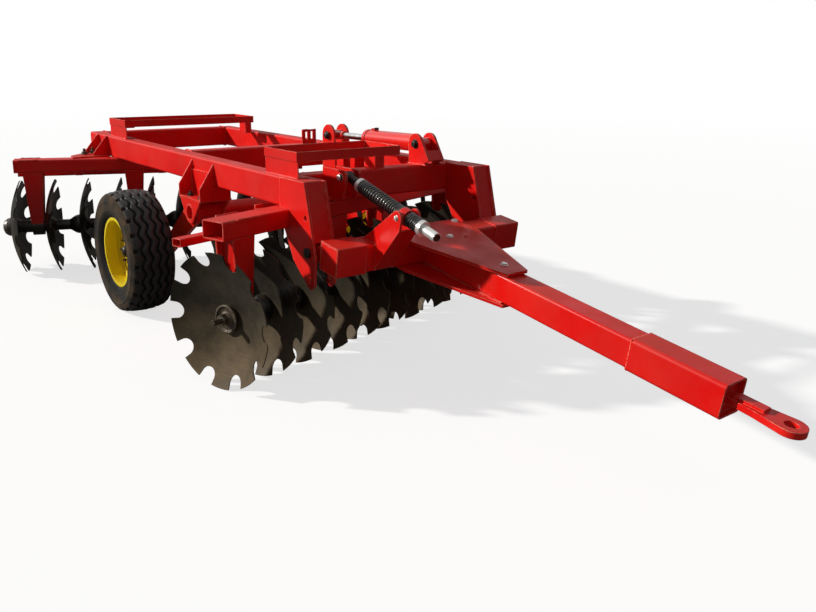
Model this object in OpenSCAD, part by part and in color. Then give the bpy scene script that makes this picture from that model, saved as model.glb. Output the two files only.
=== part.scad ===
/* [Main frame] */
// Length of the two main beams
beam_len = 3165; // [2800:5:3400]
// Width of a main beam
beam_w = 100; // [90:5:110]
// Height of a main beam
beam_h = 150; // [140:5:160]
// Wall of the main and cross beams
beam_wall = 8; // [6:1:10]
// Distance from the centre line to a main beam's centre
beam_y = 540; // [520:5:560]
// Height of the beams' underside above the ground
beam_z = 810; // [800:5:830]

/* [Disc gangs] */
// Diameter of a disc
disc_d = 660; // [610:10:660]
// Thickness of a disc
disc_t = 6; // [5:1:8]
// Number of discs on each gang
disc_count = 10; // [8:1:10]
// Distance from disc to disc along the gang
disc_pitch = 227; // [222:1:230]
// Number of notches in a disc's edge
notch_count = 10; // [8:1:12]
// Radius of a notch
notch_r = 42; // [34:1:44]
// Angle of the front gang to the cross direction
front_angle = 16.5; // [16:0.5:18]
// Angle of the rear gang to the cross direction
rear_angle = 20; // [18:1:22]
// Width of a gang beam
gang_w = 140; // [120:5:150]
// Height of a gang beam
gang_h = 90; // [80:5:100]

/* [Wheels] */
// Outer diameter of a tyre
tyre_d = 744; // [720:2:760]
// Width of a tyre
tyre_w = 264; // [250:2:280]
// Distance from the centre line to a tyre's centre
wheel_y = 885; // [875:5:900]

/* [Drawbar] */
// Side of the square drawbar tube
bar_side = 125; // [100:5:130]
// Side of the square sleeve at the drawbar's front
sleeve_side = 139; // [136:1:145]
// Slope of the parked drawbar, nose down
bar_slope = 8; // [5:0.5:9]
// Diameter of the eye at the front
eye_d = 50; // [40:1:60]

/* [Lift] */
// Outer diameter of the rockshaft
shaft_d = 102; // [89:1:108]
// Bore of the lift cylinder's barrel
cyl_bore = 80; // [70:1:80]
// Diameter of the lift cylinder's rod
cyl_rod_d = 40; // [36:1:45]

/* [Hidden] */
$fn = 64;

// Surfaces that run on each other stay this far apart all round
fit = 0.05;
beam_top = beam_z + beam_h;
beam_out = beam_y + beam_w / 2;
beam_in = beam_y - beam_w / 2;

// Gangs: the right end's disc centre, the direction to the left end and the way the dish opens
disc_r = disc_d / 2;
front_end = [-76, -1030];
rear_end = [-2892, -1191];
bar_s0 = 0;
rear_beam_end = disc_pitch * (disc_count - 1) + 25;
front_beam_end = disc_pitch * (disc_count - 1) + 60;
gang_len = disc_pitch * (disc_count - 1);

// Dish of a disc: a flat centre and a spherical bowl
dish_r = 720;
hub_r = 75;
axle_side = 38;
spool_r = 38;
flange_r = 68;
bear_r = 45;
bear_len = 76;
hanger_gaps = [0, 3, 5, 8];
// Middle of a hanger, back from the hub of the disc that opens towards it
hanger_back = 172;
function hanger_x(gap) = (gap + 1) * disc_pitch + dish_depth - hanger_back;

// Wheel lift: rockshaft axis, wheel centre and the cylinder's pins
shaft_x = -1148;
shaft_z = 645;
wheel_x = -1545;
wheel_z = tyre_d / 2;
arm_y = 650;
lever_y = 350;
lever_gap = 90;
lever_r = 68;
lever_pin = [-1160, 1050];
cyl_pin = [-270, 1070];
shaft_r = shaft_d / 2;

// Drawbar: hinge axis, hitch beam and tube in the drawbar's own sloping frame
tow_x = 43;
tow_z = 626;
hitch_side = 135;
hitch_x = 80;
hitch_top = 82;
hitch_half = 582;
plate_t = 15;
bar_z = hitch_top - hitch_side / 2;
bar_x0 = hitch_x + hitch_side;
sleeve_x = 1472;
sleeve_len = 405;
eye_x = 2091;
eye_t = 26;
pin_r = 20;
// The middle of the eye's bore is the origin of the whole machine
origin = [tow_x + eye_x * cos(bar_slope) + bar_z * sin(bar_slope), 0,
          tow_z - eye_x * sin(bar_slope) + bar_z * cos(bar_slope)];

// Levelling spring rod: pivot on the front cross-beam, trunnion on the hitch beam
rod_y = -310;
rod_pin = [-45, 958];
trun = [423, 830];
rod_angle = atan2(rod_pin[1] - trun[1], trun[0] - rod_pin[0]);
rod_reach = norm(trun - rod_pin);
rod_r = 18;
spring_r = 36;
spring_wire = 10;

RED = "firebrick";
BLACK = "dimgray";

// Moves a piece from the frame's own coordinates, with X from the main beams' front ends and Z from
// the ground, to the drawbar eye
module at_eye() {
    translate(-origin)
        children();
}

// ---------- shared shapes ----------

// Rectangle with rounded corners, centred
module round_rect(w, h, r) {
    union() {
        square([w - 2 * r, h], center = true);
        square([w, h - 2 * r], center = true);
        for (x = [-w / 2 + r, w / 2 - r])
            for (y = [-h / 2 + r, h / 2 - r])
                translate([x, y])
                    circle(r = r);
    }
}

// Rectangular tube along X from x = 0, centred on Y and Z, with the rounded corners of drawn tube
module box_tube(len, w, h, wall) {
    rotate([90, 0, 90])
        linear_extrude(len)
            difference() {
                round_rect(w, h, 1.6 * wall);
                round_rect(w - 2 * wall, h - 2 * wall, 0.6 * wall);
            }
}

// Plate of an outline in X and Z, t thick along Y from y
module plate_xz(points, y, t) {
    translate([0, y + t, 0])
        rotate([90, 0, 0])
            linear_extrude(t)
                polygon(points);
}

// Plate of an outline in Y and Z, t thick along X from x
module plate_yz(points, x, t) {
    translate([x, 0, 0])
        rotate([90, 0, 90])
            linear_extrude(t)
                polygon(points);
}

// Round bar along Y
module bar_y(x, y, z, r, len) {
    translate([x, y + len, z])
        rotate([90, 0, 0])
            cylinder(r = r, h = len);
}

// Places children on a gang: Y is forward, and X runs along the gang from the end that the dishes
// open towards, which is the right end of the front gang and the left end of the rear gang
module on_front_gang() {
    translate([front_end[0], front_end[1], 0])
        rotate([0, 0, 90 + front_angle])
            mirror([0, 1, 0])
                children();
}
module on_rear_gang() {
    translate([rear_end[0] + gang_len * sin(rear_angle), rear_end[1] + gang_len * cos(rear_angle), 0])
        rotate([0, 0, -90 - rear_angle])
            children();
}

// ---------- main frame ----------

module main_beam(side) {
    color(RED) {
        translate([-beam_len, side * beam_y, beam_z + beam_h / 2])
            box_tube(beam_len, beam_w, beam_h, beam_wall);
        // rear end cap inside the tube
        translate([-beam_len, side * beam_y - beam_w / 2 + beam_wall, beam_z + beam_wall])
            cube([beam_wall, beam_w - 2 * beam_wall, beam_h - 2 * beam_wall]);
    }
}

module cross_beam(x) {
    color(RED)
        translate([x + beam_w / 2, -beam_in, beam_z + beam_h / 2])
            rotate([0, 0, 90])
                box_tube(2 * beam_in, beam_w, beam_h, beam_wall);
}

// Shallow tray of angle iron on two supports
tray_w = 320;
tray_leg = 48;
tray_t = 6;
tray_lift = 82;
module angle_frame(x, y0, y1, z) {
    difference() {
        translate([x, y0, z])
            cube([tray_w, y1 - y0, tray_leg]);
        translate([x + tray_t, y0 + tray_t, z + tray_t])
            cube([tray_w - 2 * tray_t, y1 - y0 - 2 * tray_t, tray_leg]);
        translate([x + tray_leg, y0 + tray_leg, z - 1])
            cube([tray_w - 2 * tray_leg, y1 - y0 - 2 * tray_leg, tray_leg]);
    }
}
// Channel under a tray's end: foot on the main beam at z0, web up, top flange under the tray.
// Both flanges point the way that side gives
module tray_channel(x, y, z0, side) {
    flange = 62;
    translate([x, y, z0])
        mirror([0, side < 0 ? 1 : 0, 0])
            difference() {
                cube([tray_w, flange, tray_lift]);
                translate([-1, tray_t, tray_t])
                    cube([tray_w + 2, flange, tray_lift - 2 * tray_t]);
            }
}
module front_ballast_tray() {
    color(RED) {
        angle_frame(-415, -575, 52, beam_top + tray_lift);
        tray_channel(-415, -570, beam_top, 1);
        translate([-330, -12, beam_top])
            box_leg(100, 60, tray_lift);
    }
}
module rear_ballast_tray() {
    color(RED) {
        angle_frame(-2750, -575, 425, beam_top + tray_lift);
        tray_channel(-2750, -570, beam_top, 1);
        translate([-2560, 370, beam_top])
            box_leg(100, 50, tray_lift);
    }
}
// Short upright of square tube under a tray
module box_leg(l, w, h) {
    difference() {
        cube([l, w, h]);
        translate([tray_t, tray_t, -1])
            cube([l - 2 * tray_t, w - 2 * tray_t, h + 2]);
    }
}

// ---------- tow brackets ----------

tow_t = 12;
tow_outline = [
    [-220, beam_top], [12, beam_top], [104, 604], [92, 470], [60, 444], [30, 458],
    [-97, 563], [-175, 700], [-220, 770]
];
module tow_plate(y) {
    plate_xz(tow_outline, y, tow_t);
}
module tow_bracket(side) {
    y_out = side > 0 ? beam_out : -beam_out - tow_t;
    y_in = side > 0 ? beam_in - tow_t : -beam_in;
    y_gap = side > 0 ? beam_in : -beam_out;
    color(RED)
        difference() {
            union() {
                tow_plate(y_out);
                tow_plate(y_in);
                // plate that closes the front, set back from the side plates' edges, above the lug
                plate_xz([[0, beam_top - 2], [4, beam_top - 2], [74, front_low], [62, front_low],
                          [0, front_low + 120]], y_gap, beam_w);
            }
            for (z = [tow_z, 790, 491])
                bar_y(z == tow_z ? tow_x : (z > tow_z ? 21 : 50), side * beam_y - 90, z,
                      z == tow_z ? pin_r : 14, 180);
            on_front_gang()
                translate([bar_s0 - 1, -gang_w / 2, beam_z - gang_h])
                    cube([gang_len, gang_w, gang_h]);
            // room for the front cross-beam
            translate([-400, -beam_in, beam_z])
                cube([190, 2 * beam_in, beam_h]);
        }
}
// Lowest point of the plate that closes a tow bracket's front
front_low = 676;

// Pins that hold the hitch lugs and the levelling rod, with a head at each end
module headed_pin(x, y, z, r, half, head_r, head) {
    bar_y(x, y - half, z, r, 2 * half);
    for (end = [-half - head, half])
        bar_y(x, y + end, z, head_r, head);
}
module hinge_pins() {
    color("dimgray") {
        for (side = [-1, 1])
            headed_pin(tow_x, side * beam_y, tow_z, pin_r, beam_w / 2 + tow_t, 25, 12);
        headed_pin(rod_pin[0], rod_y, rod_pin[1], 12, 47, 17, 8);
    }
}

// ---------- rockshaft brackets and lift cylinder ----------

// Bracket under a main beam: gussets on the beam's faces carry a floor plate, and two V-shaped
// plates under the floor hold the rockshaft
gusset_t = 10;
bracket_x = [-1285, -990];
bracket_out = 680;
floor_z = 725;
inner_v = 500;
module shaft_bracket(side) {
    x0 = bracket_x[0];
    x1 = bracket_x[1];
    color(RED)
        mirror([0, side > 0 ? 0 : 1, 0])
            difference() {
                union() {
                    // gussets on the outer face, and plates that close the box under the beam
                    for (x = [x0, x1 - gusset_t]) {
                        plate_yz([[beam_out, 940], [bracket_out, 800], [bracket_out, floor_z + 5],
                                  [beam_out, floor_z + 5]], x, gusset_t);
                        plate_yz([[beam_in, floor_z + 5], [beam_in, beam_z], [beam_out + 5, beam_z],
                                  [beam_out + 5, floor_z + 5]], x, gusset_t);
                    }
                    // backing plate on the beam's outer face
                    translate([x0 + 5, beam_out, floor_z + 5])
                        cube([x1 - x0 - 10, gusset_t, 155]);
                    translate([x0 + 5, beam_in + 1, floor_z + 5])
                        cube([x1 - x0 - 10, gusset_t, beam_z - floor_z - 5]);
                    translate([x0, inner_v - gusset_t - 4, floor_z])
                        cube([x1 - x0, bracket_out - inner_v + gusset_t + 4, gusset_t]);
                    for (y = [bracket_out - gusset_t - 1, inner_v - gusset_t]) {
                        plate_xz([[x0 + 7, floor_z + 5], [x1 - 7, floor_z + 5], [shaft_x + 56, shaft_z - 27],
                                  [shaft_x - 56, shaft_z - 27]], y, gusset_t);
                        bar_y(shaft_x, y, shaft_z, shaft_r + 12, gusset_t);
                    }
                }
                bar_y(shaft_x, inner_v - 50, shaft_z, shaft_r + fit, 250);
            }
}

clevis_t = 14;
clevis_gap = 86;
clevis_r = 58;
module cylinder_clevis() {
    outline = [[-324, beam_top], [-205, beam_top], [-150, beam_top + 28], [cyl_pin[0] + 44, cyl_pin[1] + 38],
               [cyl_pin[0] - clevis_r, cyl_pin[1]]];
    color(RED)
        difference() {
            union() {
                for (y = [lever_y - clevis_gap / 2 - clevis_t, lever_y + clevis_gap / 2]) {
                    plate_xz(outline, y, clevis_t);
                    bar_y(cyl_pin[0], y, cyl_pin[1], clevis_r, clevis_t);
                }
                // sloping plate that ties the two cheeks together in front of the pin
                plate_xz([[-150, beam_top + 28], [-161, beam_top + 23], [-196, 1030], [-186, 1037]],
                         lever_y - clevis_gap / 2 - 1, clevis_gap + 2);
            }
            bar_y(cyl_pin[0], lever_y - 80, cyl_pin[1], 15 + fit, 160);
        }
}

module cylinder_frame() {
    translate([cyl_pin[0], lever_y, cyl_pin[1]])
        rotate([0, atan2(lever_pin[1] - cyl_pin[1], cyl_pin[0] - lever_pin[0]), 0])
            rotate([0, 0, 180])
                children();
}
cyl_len = norm(lever_pin - cyl_pin);
barrel_len = 528;
// The barrel starts behind the round ends of the clevis cheeks
barrel_x0 = clevis_r + 10;
rod_eye_r = 32;
rod_eye_w = 76;
socket_len = 105;
module lift_cylinder() {
    color(RED)
        cylinder_frame() {
            difference() {
                union() {
                    translate([barrel_x0, 0, 0])
                        rotate([0, 90, 0])
                            cylinder(r = cyl_bore / 2 + 10, h = barrel_len - barrel_x0);
                    // gland collar
                    translate([barrel_len - 26, 0, 0])
                        rotate([0, 90, 0])
                            cylinder(r = cyl_bore / 2 + 13, h = 26);
                    // end boss on the base pin
                    translate([0, rod_eye_w / 2, 0])
                        rotate([90, 0, 0])
                            cylinder(r = rod_eye_r, h = rod_eye_w);
                    translate([0, -30, -rod_eye_r])
                        cube([barrel_x0 + 10, 60, 2 * rod_eye_r]);
                    // port blocks: one on top by the gland, one on the left side by the base
                    translate([barrel_len - 86, -16, 40])
                        cube([32, 32, cyl_bore / 2 - 18]);
                    translate([barrel_x0 + 34, -cyl_bore / 2 - 22, -16])
                        cube([32, cyl_bore / 2 - 18, 32]);
                }
                translate([0, 100, 0])
                    rotate([90, 0, 0])
                        cylinder(r = 15, h = 200);
                translate([barrel_x0 + 16, 0, 0])
                    rotate([0, 90, 0])
                        cylinder(r = cyl_bore / 2, h = barrel_len - barrel_x0 - 56);
                translate([barrel_x0 + 16, 0, 0])
                    rotate([0, 90, 0])
                        cylinder(r = cyl_rod_d / 2 + fit, h = barrel_len);
            }
            // base pin
            translate([0, 66, 0])
                rotate([90, 0, 0])
                    cylinder(r = 15, h = 132);
        }
}
module lift_cylinder_rod() {
    piston = 40;
    rod_x0 = cyl_len - 640;
    color("silver")
        cylinder_frame() {
            translate([rod_x0 + 20, 0, 0])
                rotate([0, 90, 0])
                    cylinder(r = cyl_rod_d / 2, h = cyl_len - rod_x0 - 20 - socket_len + 26);
            translate([rod_x0, 0, 0])
                rotate([0, 90, 0])
                    cylinder(r = cyl_bore / 2 - fit, h = piston);
        }
}
// Eye screwed on the rod's end, held between the lever plates
module lift_cylinder_eye() {
    color(RED)
        cylinder_frame()
            difference() {
                union() {
                    translate([cyl_len, rod_eye_w / 2, 0])
                        rotate([90, 0, 0])
                            cylinder(r = rod_eye_r, h = rod_eye_w);
                    translate([cyl_len - socket_len, 0, 0])
                        rotate([0, 90, 0])
                            cylinder(r = rod_eye_r - 4, h = socket_len - 8);
                }
                translate([cyl_len - socket_len - 1, 0, 0])
                    rotate([0, 90, 0])
                        cylinder(r = cyl_rod_d / 2, h = 27);
            }
}

module rockshaft() {
    color(RED) {
        difference() {
            bar_y(shaft_x, -bracket_out, shaft_z, shaft_r, 2 * bracket_out);
            bar_y(shaft_x, -bracket_out - 1, shaft_z, shaft_r - 10, 2 * bracket_out + 2);
        }
        // pair of lever arms
        for (y = [lever_y - lever_gap / 2 - clevis_t, lever_y + lever_gap / 2])
            difference() {
                union() {
                    plate_xz([[shaft_x - 78, shaft_z], [shaft_x + 78, shaft_z],
                              [lever_pin[0] + lever_r, lever_pin[1]], [lever_pin[0] - lever_r, lever_pin[1]]],
                             y, clevis_t);
                    bar_y(lever_pin[0], y, lever_pin[1], lever_r, clevis_t);
                    bar_y(shaft_x, y, shaft_z, 78, clevis_t);
                }
                bar_y(shaft_x, y - 1, shaft_z, shaft_r - 4, clevis_t + 2);
            }
    }
    // the pin's two ends: its middle is in the cylinder rod's eye
    color("silver")
        for (y = [lever_y - lever_gap / 2 - clevis_t - 12, lever_y + lever_gap / 2 + clevis_t])
            bar_y(lever_pin[0], y, lever_pin[1], 15, 12);
}

arm_t = 24;
spindle_r = 25;
spindle_out = wheel_y + 8;
module wheel_arms() {
    color(RED)
        for (side = [-1, 1]) {
            y = side > 0 ? arm_y - arm_t / 2 : -arm_y - arm_t / 2;
            difference() {
                union() {
                    bar_y(shaft_x, y, shaft_z, 75, arm_t);
                    bar_y(wheel_x, y, wheel_z, 52, arm_t);
                    plate_xz([[shaft_x + 30, shaft_z - 66], [shaft_x - 42, shaft_z + 60],
                              [wheel_x - 27, wheel_z + 44], [wheel_x + 27, wheel_z - 44]], y, arm_t);
                }
                bar_y(shaft_x, y - 1, shaft_z, shaft_r, arm_t + 2);
            }
            bar_y(wheel_x, side > 0 ? y : -spindle_out, wheel_z, spindle_r, spindle_out - arm_y + arm_t / 2);
        }
}

// ---------- wheels ----------

rim_r = 212;
rim_w = 212;
stud_count = 6;
stud_ring = 72;
hand_holes = 8;
// Inner face of the wheel disc, outwards from the rim's middle
disc_z = 4;
module tyre(side) {
    r = tyre_d / 2;
    h = tyre_w / 2;
    color(BLACK)
        translate([wheel_x, side * wheel_y, wheel_z])
            rotate([90, 0, 0])
                rotate_extrude($fn = 96)
                    polygon([[rim_r - 13.5, -rim_w / 2 + 9], [rim_r + 3, -rim_w / 2 + 1], [rim_r + 40, -h + 6],
                             [r - 80, -h], [r - 26, -h + 14], [r - 4, -h + 44], [r, 0],
                             [r - 4, h - 44], [r - 26, h - 14], [r - 80, h], [rim_r + 40, h - 6],
                             [rim_r + 3, rim_w / 2 - 1], [rim_r - 13.5, rim_w / 2 - 9],
                             [rim_r - 13.5, rim_w / 2 - 20], [rim_r + 30, h - 34], [r - 60, h - 30],
                             [r - 26, h - 60], [r - 22, 0], [r - 26, -h + 60], [r - 60, -h + 30],
                             [rim_r + 30, -h + 34], [rim_r - 13.5, -rim_w / 2 + 20]]);
}
// Rim, wheel disc at the inner side and hub; side is the way the wheel's outer face looks
module wheel(side) {
    color("gold")
        translate([wheel_x, side * wheel_y, wheel_z])
            mirror([0, side > 0 ? 0 : 1, 0])
                rotate([-90, 0, 0]) {
                    rotate_extrude($fn = 96)
                        polygon([[rim_r - 18, -rim_w / 2], [rim_r + 2, -rim_w / 2],
                                 [rim_r + 2, -rim_w / 2 + 0.5], [rim_r - 14, -rim_w / 2 + 8],
                                 [rim_r - 14, -30], [rim_r - 38, -20], [rim_r - 38, 20],
                                 [rim_r - 14, 30], [rim_r - 14, rim_w / 2 - 8],
                                 [rim_r + 2, rim_w / 2 - 0.5], [rim_r + 2, rim_w / 2],
                                 [rim_r - 18, rim_w / 2], [rim_r - 20, 32], [rim_r - 44, 22],
                                 [rim_r - 44, -22], [rim_r - 20, -32]]);
                    difference() {
                        union() {
                            // wheel disc
                            translate([0, 0, disc_z])
                                cylinder(r = rim_r - 40, h = 10);
                            translate([0, 0, -112])
                                cylinder(r = 48, h = disc_z + 140);
                            translate([0, 0, disc_z + 10])
                                cylinder(r1 = 96, r2 = 90, h = 10);
                            // raised ring pressed into the wheel disc
                            translate([0, 0, disc_z + 10])
                                cylinder(r1 = 122, r2 = 112, h = 7);
                            translate([0, 0, disc_z + 28])
                                cylinder(r1 = 38, r2 = 30, h = 16);
                            for (i = [0:stud_count - 1])
                                rotate([0, 0, i * 360 / stud_count])
                                    translate([stud_ring, 0, disc_z + 19])
                                        cylinder(r = 12, h = 16, $fn = 6);
                        }
                        for (i = [0:hand_holes - 1])
                            rotate([0, 0, (i + 0.5) * 360 / hand_holes])
                                translate([142, 0, disc_z - 1])
                                    cylinder(r = 14, h = 12);
                        translate([0, 0, -113])
                            cylinder(r = spindle_r + fit, h = 124);
                    }
                }
}

// ---------- gangs ----------

// One disc: centre at the origin, axis along X, open side towards -X
module disc(turn) {
    bowl_x = sqrt(pow(dish_r, 2) - pow(hub_r, 2));
    difference() {
        rotate([turn, 0, 0])
            difference() {
                rotate([0, 90, 0])
                    rotate_extrude($fn = 128)
                        union() {
                            intersection() {
                                difference() {
                                    translate([0, -bowl_x])
                                        circle(r = dish_r + disc_t / 2, $fn = 256);
                                    translate([0, -bowl_x])
                                        circle(r = dish_r - disc_t / 2, $fn = 256);
                                }
                                translate([hub_r, -200])
                                    square([disc_r - hub_r, 200 + disc_t]);
                            }
                            translate([0, -disc_t / 2])
                                square([hub_r, disc_t]);
                        }
                for (i = [0:notch_count - 1])
                    rotate([i * 360 / notch_count, 0, 0])
                        notch();
            }
        translate([-50, -axle_side / 2, -axle_side / 2])
            cube([100, axle_side, axle_side]);
    }
}
// Notch cut into a disc's edge: a round root that widens to sharp corners at the rim
module notch() {
    translate([-200, 0, disc_r - 24])
        rotate([0, 90, 0])
            linear_extrude(300)
                union() {
                    circle(r = notch_r);
                    polygon([[8, -notch_r + 1], [8, notch_r - 1], [-60, notch_r + 8], [-60, -notch_r - 8]]);
                }
}
// The dish is deepest at its centre, so the rim of each disc sits ahead of its hub
dish_depth = sqrt(pow(dish_r, 2) - pow(hub_r, 2)) - sqrt(pow(dish_r, 2) - pow(disc_r, 2));
module discs() {
    color("dimgray")
        for (i = [0:disc_count - 1])
            translate([i * disc_pitch + dish_depth, 0, disc_r])
                disc(18 + 11 * i);
}

// Spool with flanges, or a bearing sleeve where a hanger stands
module spool(bearing) {
    len = disc_pitch - disc_t - 2 * fit;
    difference() {
        rotate([0, 90, 0])
            rotate_extrude()
                polygon(bearing
                    ? [[0, 0], [bear_r, 0], [bear_r, len - 62], [flange_r - 8, len - 34],
                       [flange_r, len - 14], [flange_r, len], [0, len]]
                    : [[0, 0], [flange_r, 0], [flange_r, 14], [flange_r - 8, 34], [spool_r, 66],
                       [spool_r, len - 66], [flange_r - 8, len - 34], [flange_r, len - 14],
                       [flange_r, len], [0, len]]);
        translate([-1, -axle_side / 2, -axle_side / 2])
            cube([len + 2, axle_side, axle_side]);
    }
}
function is_bearing(i) = len([for (g = hanger_gaps) if (g == i) g]) > 0;
module spools() {
    color(BLACK)
        for (i = [0:disc_count - 2])
            translate([i * disc_pitch + dish_depth + disc_t / 2 + fit, 0, disc_r])
                spool(is_bearing(i));
}

// Square bar through the gang: a rimmed washer, nut and threaded end on the open side, and a domed
// cap at the other end
end_r = 70;
module gang_axle() {
    x0 = dish_depth - disc_t / 2;
    x1 = gang_len + dish_depth + disc_t / 2;
    color(BLACK)
        translate([0, 0, disc_r]) {
            difference() {
                translate([x0, 0, 0])
                    rotate([0, -90, 0])
                        rotate_extrude()
                            polygon([[0, 0], [end_r - 6, 0], [end_r, 10], [end_r, 20], [end_r - 8, 22],
                                     [end_r - 14, 14], [36, 14], [32, 22], [0, 22]]);
                translate([x0 - 40, -axle_side / 2, -axle_side / 2])
                    cube([60, axle_side, axle_side]);
            }
            translate([x0 - 22, -axle_side / 2, -axle_side / 2])
                cube([x1 - x0 + 26, axle_side, axle_side]);
            translate([x0 - 48, 0, 0])
                rotate([0, 90, 0])
                    cylinder(r = 29, h = 26, $fn = 6);
            translate([x0 - 100, 0, 0])
                rotate([0, 90, 0])
                    cylinder(r = 14, h = 54);
            difference() {
                translate([x1, 0, 0])
                    rotate([0, 90, 0])
                        rotate_extrude()
                            polygon([[0, 0], [end_r - 4, 0], [end_r - 4, 8], [end_r - 10, 28], [end_r - 24, 46],
                                     [24, 56], [0, 58]]);
                translate([x1 - 10, -axle_side / 2, -axle_side / 2])
                    cube([14, axle_side, axle_side]);
            }
        }
}

// Rectangular beam over the gang, from near the first disc's rim to far past the last hanger
module gang_beam(x_end) {
    color(RED)
        translate([bar_s0, 0, beam_z - gang_h / 2])
            box_tube(x_end - bar_s0, gang_w, gang_h, 7);
}

// Stand from the beam to the bearing
hanger_t = 10;
housing_r = 66;
module hanger() {
    z1 = beam_z - gang_h;
    z0 = disc_r + housing_r - 6;
    top = 134;
    low = bear_len;
    difference() {
        union() {
            // front and back plates, each wider at the top
            for (y = [-62, 62 - hanger_t])
                translate([0, y + hanger_t, 0])
                    rotate([90, 0, 0])
                        linear_extrude(hanger_t)
                            polygon([[-top / 2, z1], [top / 2, z1], [low / 2, z0 - 70],
                                     [-low / 2, z0 - 70]]);
            // side plates
            for (x = [-low / 2, low / 2 - hanger_t])
                translate([x, -62 + hanger_t, z0 - 70])
                    cube([hanger_t, 124 - 2 * hanger_t, z1 - z0 + 70]);
        }
        translate([-100, 0, disc_r])
            rotate([0, 90, 0])
                cylinder(r = housing_r, h = 200);
    }
}
module hangers() {
    color(RED)
        for (g = hanger_gaps)
            translate([hanger_x(g), 0, 0])
                hanger();
}
module bearings() {
    color(BLACK)
        for (g = hanger_gaps)
            translate([hanger_x(g) - bear_len / 2, 0, disc_r])
                rotate([0, 90, 0])
                    difference() {
                        cylinder(r = housing_r, h = bear_len);
                        translate([0, 0, -1])
                            cylinder(r = bear_r + fit, h = bear_len + 2);
                    }
}

// Scraper bar behind the beam, hung from it by brackets between the hangers
scraper_y = -229;
scraper_z = 680;
scraper_w = 60;
scraper_h = 40;
bracket_gaps = [2, 4.6, 7.2];
module scraper_bar() {
    len = gang_len + 60;
    rear_face = scraper_y + scraper_w / 2;
    color(RED) {
        translate([-24, scraper_y, scraper_z])
            box_tube(len, scraper_w, scraper_h, 4);
        for (g = bracket_gaps)
            translate([g * disc_pitch, rear_face, 0]) {
                translate([0, 0, scraper_z - 20])
                    cube([50, 10, beam_z - 10 - scraper_z + 20]);
                translate([0, 9, beam_z - 40])
                    cube([50, -rear_face - gang_w / 2 - 9, 10]);
            }
    }
}
// A scraper for each disc of the front gang but the outermost: the arm hangs from the bar outside the disc's rim, and
// its blade slants into the hollow face
module scrapers() {
    arm_x = -22;
    blade_top = 470;
    color(BLACK)
        for (i = [1:disc_count - 1])
            translate([i * disc_pitch + arm_x, 0, 0]) {
                plate_yz([[scraper_y - 16, scraper_z - scraper_h / 2], [scraper_y + 16, scraper_z - scraper_h / 2],
                          [-182, blade_top], [-182, blade_top - 56], [-206, blade_top - 56],
                          [-214, blade_top]], 0, 8);
                translate([0, 0, blade_top - 50])
                    linear_extrude(80)
                        polygon([[0, -206], [8, -206], [50, -158], [44, -158], [4, -198]]);
            }
}

// Brackets that tie the rear gang beam to the main beams: a foot plate lies on the gang beam, and
// two gussets stand on it against the main beam's outer face
clamp_t = 10;
module gang_clamp(side, foot, gusset_x) {
    y_face = side * beam_out;
    y_foot = side * (beam_out + 112);
    translate([0, 0, beam_z])
        linear_extrude(clamp_t)
            polygon(foot);
    for (x = gusset_x)
        plate_yz([[y_face, beam_z + 1], [y_face, beam_top - 4], [y_face + side * 14, beam_top - 4],
                  [y_foot, beam_z + 24], [y_foot, beam_z + 1]], x, clamp_t);
}
module gang_clamps() {
    color(RED) {
        gang_clamp(-1, [[-2985, -beam_out], [-2742, -beam_out], [-2735, -860], [-2850, -840], [-2985, -705]],
                   [-2970, -2780]);
        gang_clamp(1, [[-2330, beam_out], [-2110, beam_out], [-2070, 760], [-2180, 790], [-2330, 705]],
                   [-2315, -2140]);
    }
}

// ---------- hitch and drawbar ----------

// Children sit in the drawbar's frame: origin on the tow hinge, X along the drawbar
module on_drawbar() {
    translate([tow_x, 0, tow_z])
        rotate([0, bar_slope, 0])
            children();
}
lug_t = 60;
end_sleeve = 165;
module hitch_beam() {
    color(RED)
        on_drawbar() {
            translate([hitch_x + hitch_side / 2, -hitch_half, hitch_top - hitch_side / 2])
                rotate([0, 0, 90])
                    box_tube(2 * hitch_half, hitch_side, hitch_side, 8);
            for (side = [-1, 1])
                translate([0, side * beam_y - lug_t / 2, 0])
                    difference() {
                        union() {
                            translate([0, lug_t, 0])
                                rotate([90, 0, 0])
                                    cylinder(r = 36, h = lug_t);
                            translate([0, 0, -36])
                                cube([hitch_x, lug_t, 72]);
                        }
                        translate([0, lug_t + 1, 0])
                            rotate([90, 0, 0])
                                cylinder(r = pin_r + fit, h = lug_t + 2);
                    }
            // sleeves that stiffen the tube's ends, and the plates that close them
            for (y = [-hitch_half - 2, hitch_half - end_sleeve + 2])
                translate([hitch_x + hitch_side / 2, y, hitch_top - hitch_side / 2])
                    rotate([0, 0, 90])
                        box_tube(end_sleeve, hitch_side + 9, hitch_side + 9, 5);
            for (y = [-hitch_half - 2, hitch_half - 8])
                translate([hitch_x + 2, y, hitch_top - hitch_side + 2])
                    cube([hitch_side - 4, 10, hitch_side - 4]);
        }
}
module hitch_plate(z) {
    color(RED)
        on_drawbar()
            translate([0, 0, z])
                linear_extrude(plate_t)
                    difference() {
                        polygon([[hitch_x - 10, -205], [bar_x0 + 40, -205], [bar_x0 + 575, -64],
                                 [bar_x0 + 575, 64], [bar_x0 + 40, 252], [hitch_x - 10, 252]]);
                        // hole for a chain shackle
                        translate([bar_x0 + 106, 105])
                            circle(r = 9);
                    }
}
module drawbar_tube() {
    pad = (hitch_side - bar_side) / 2;
    color(RED)
        on_drawbar() {
            translate([bar_x0, 0, bar_z])
                box_tube(sleeve_x + sleeve_len - 140 - bar_x0, bar_side, bar_side, 8);
            // packing strips between the tube and the hitch plates
            for (z = [bar_z - hitch_side / 2, bar_z + bar_side / 2])
                translate([bar_x0, -bar_side / 2, z])
                    cube([560, bar_side, pad]);
        }
}
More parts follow.
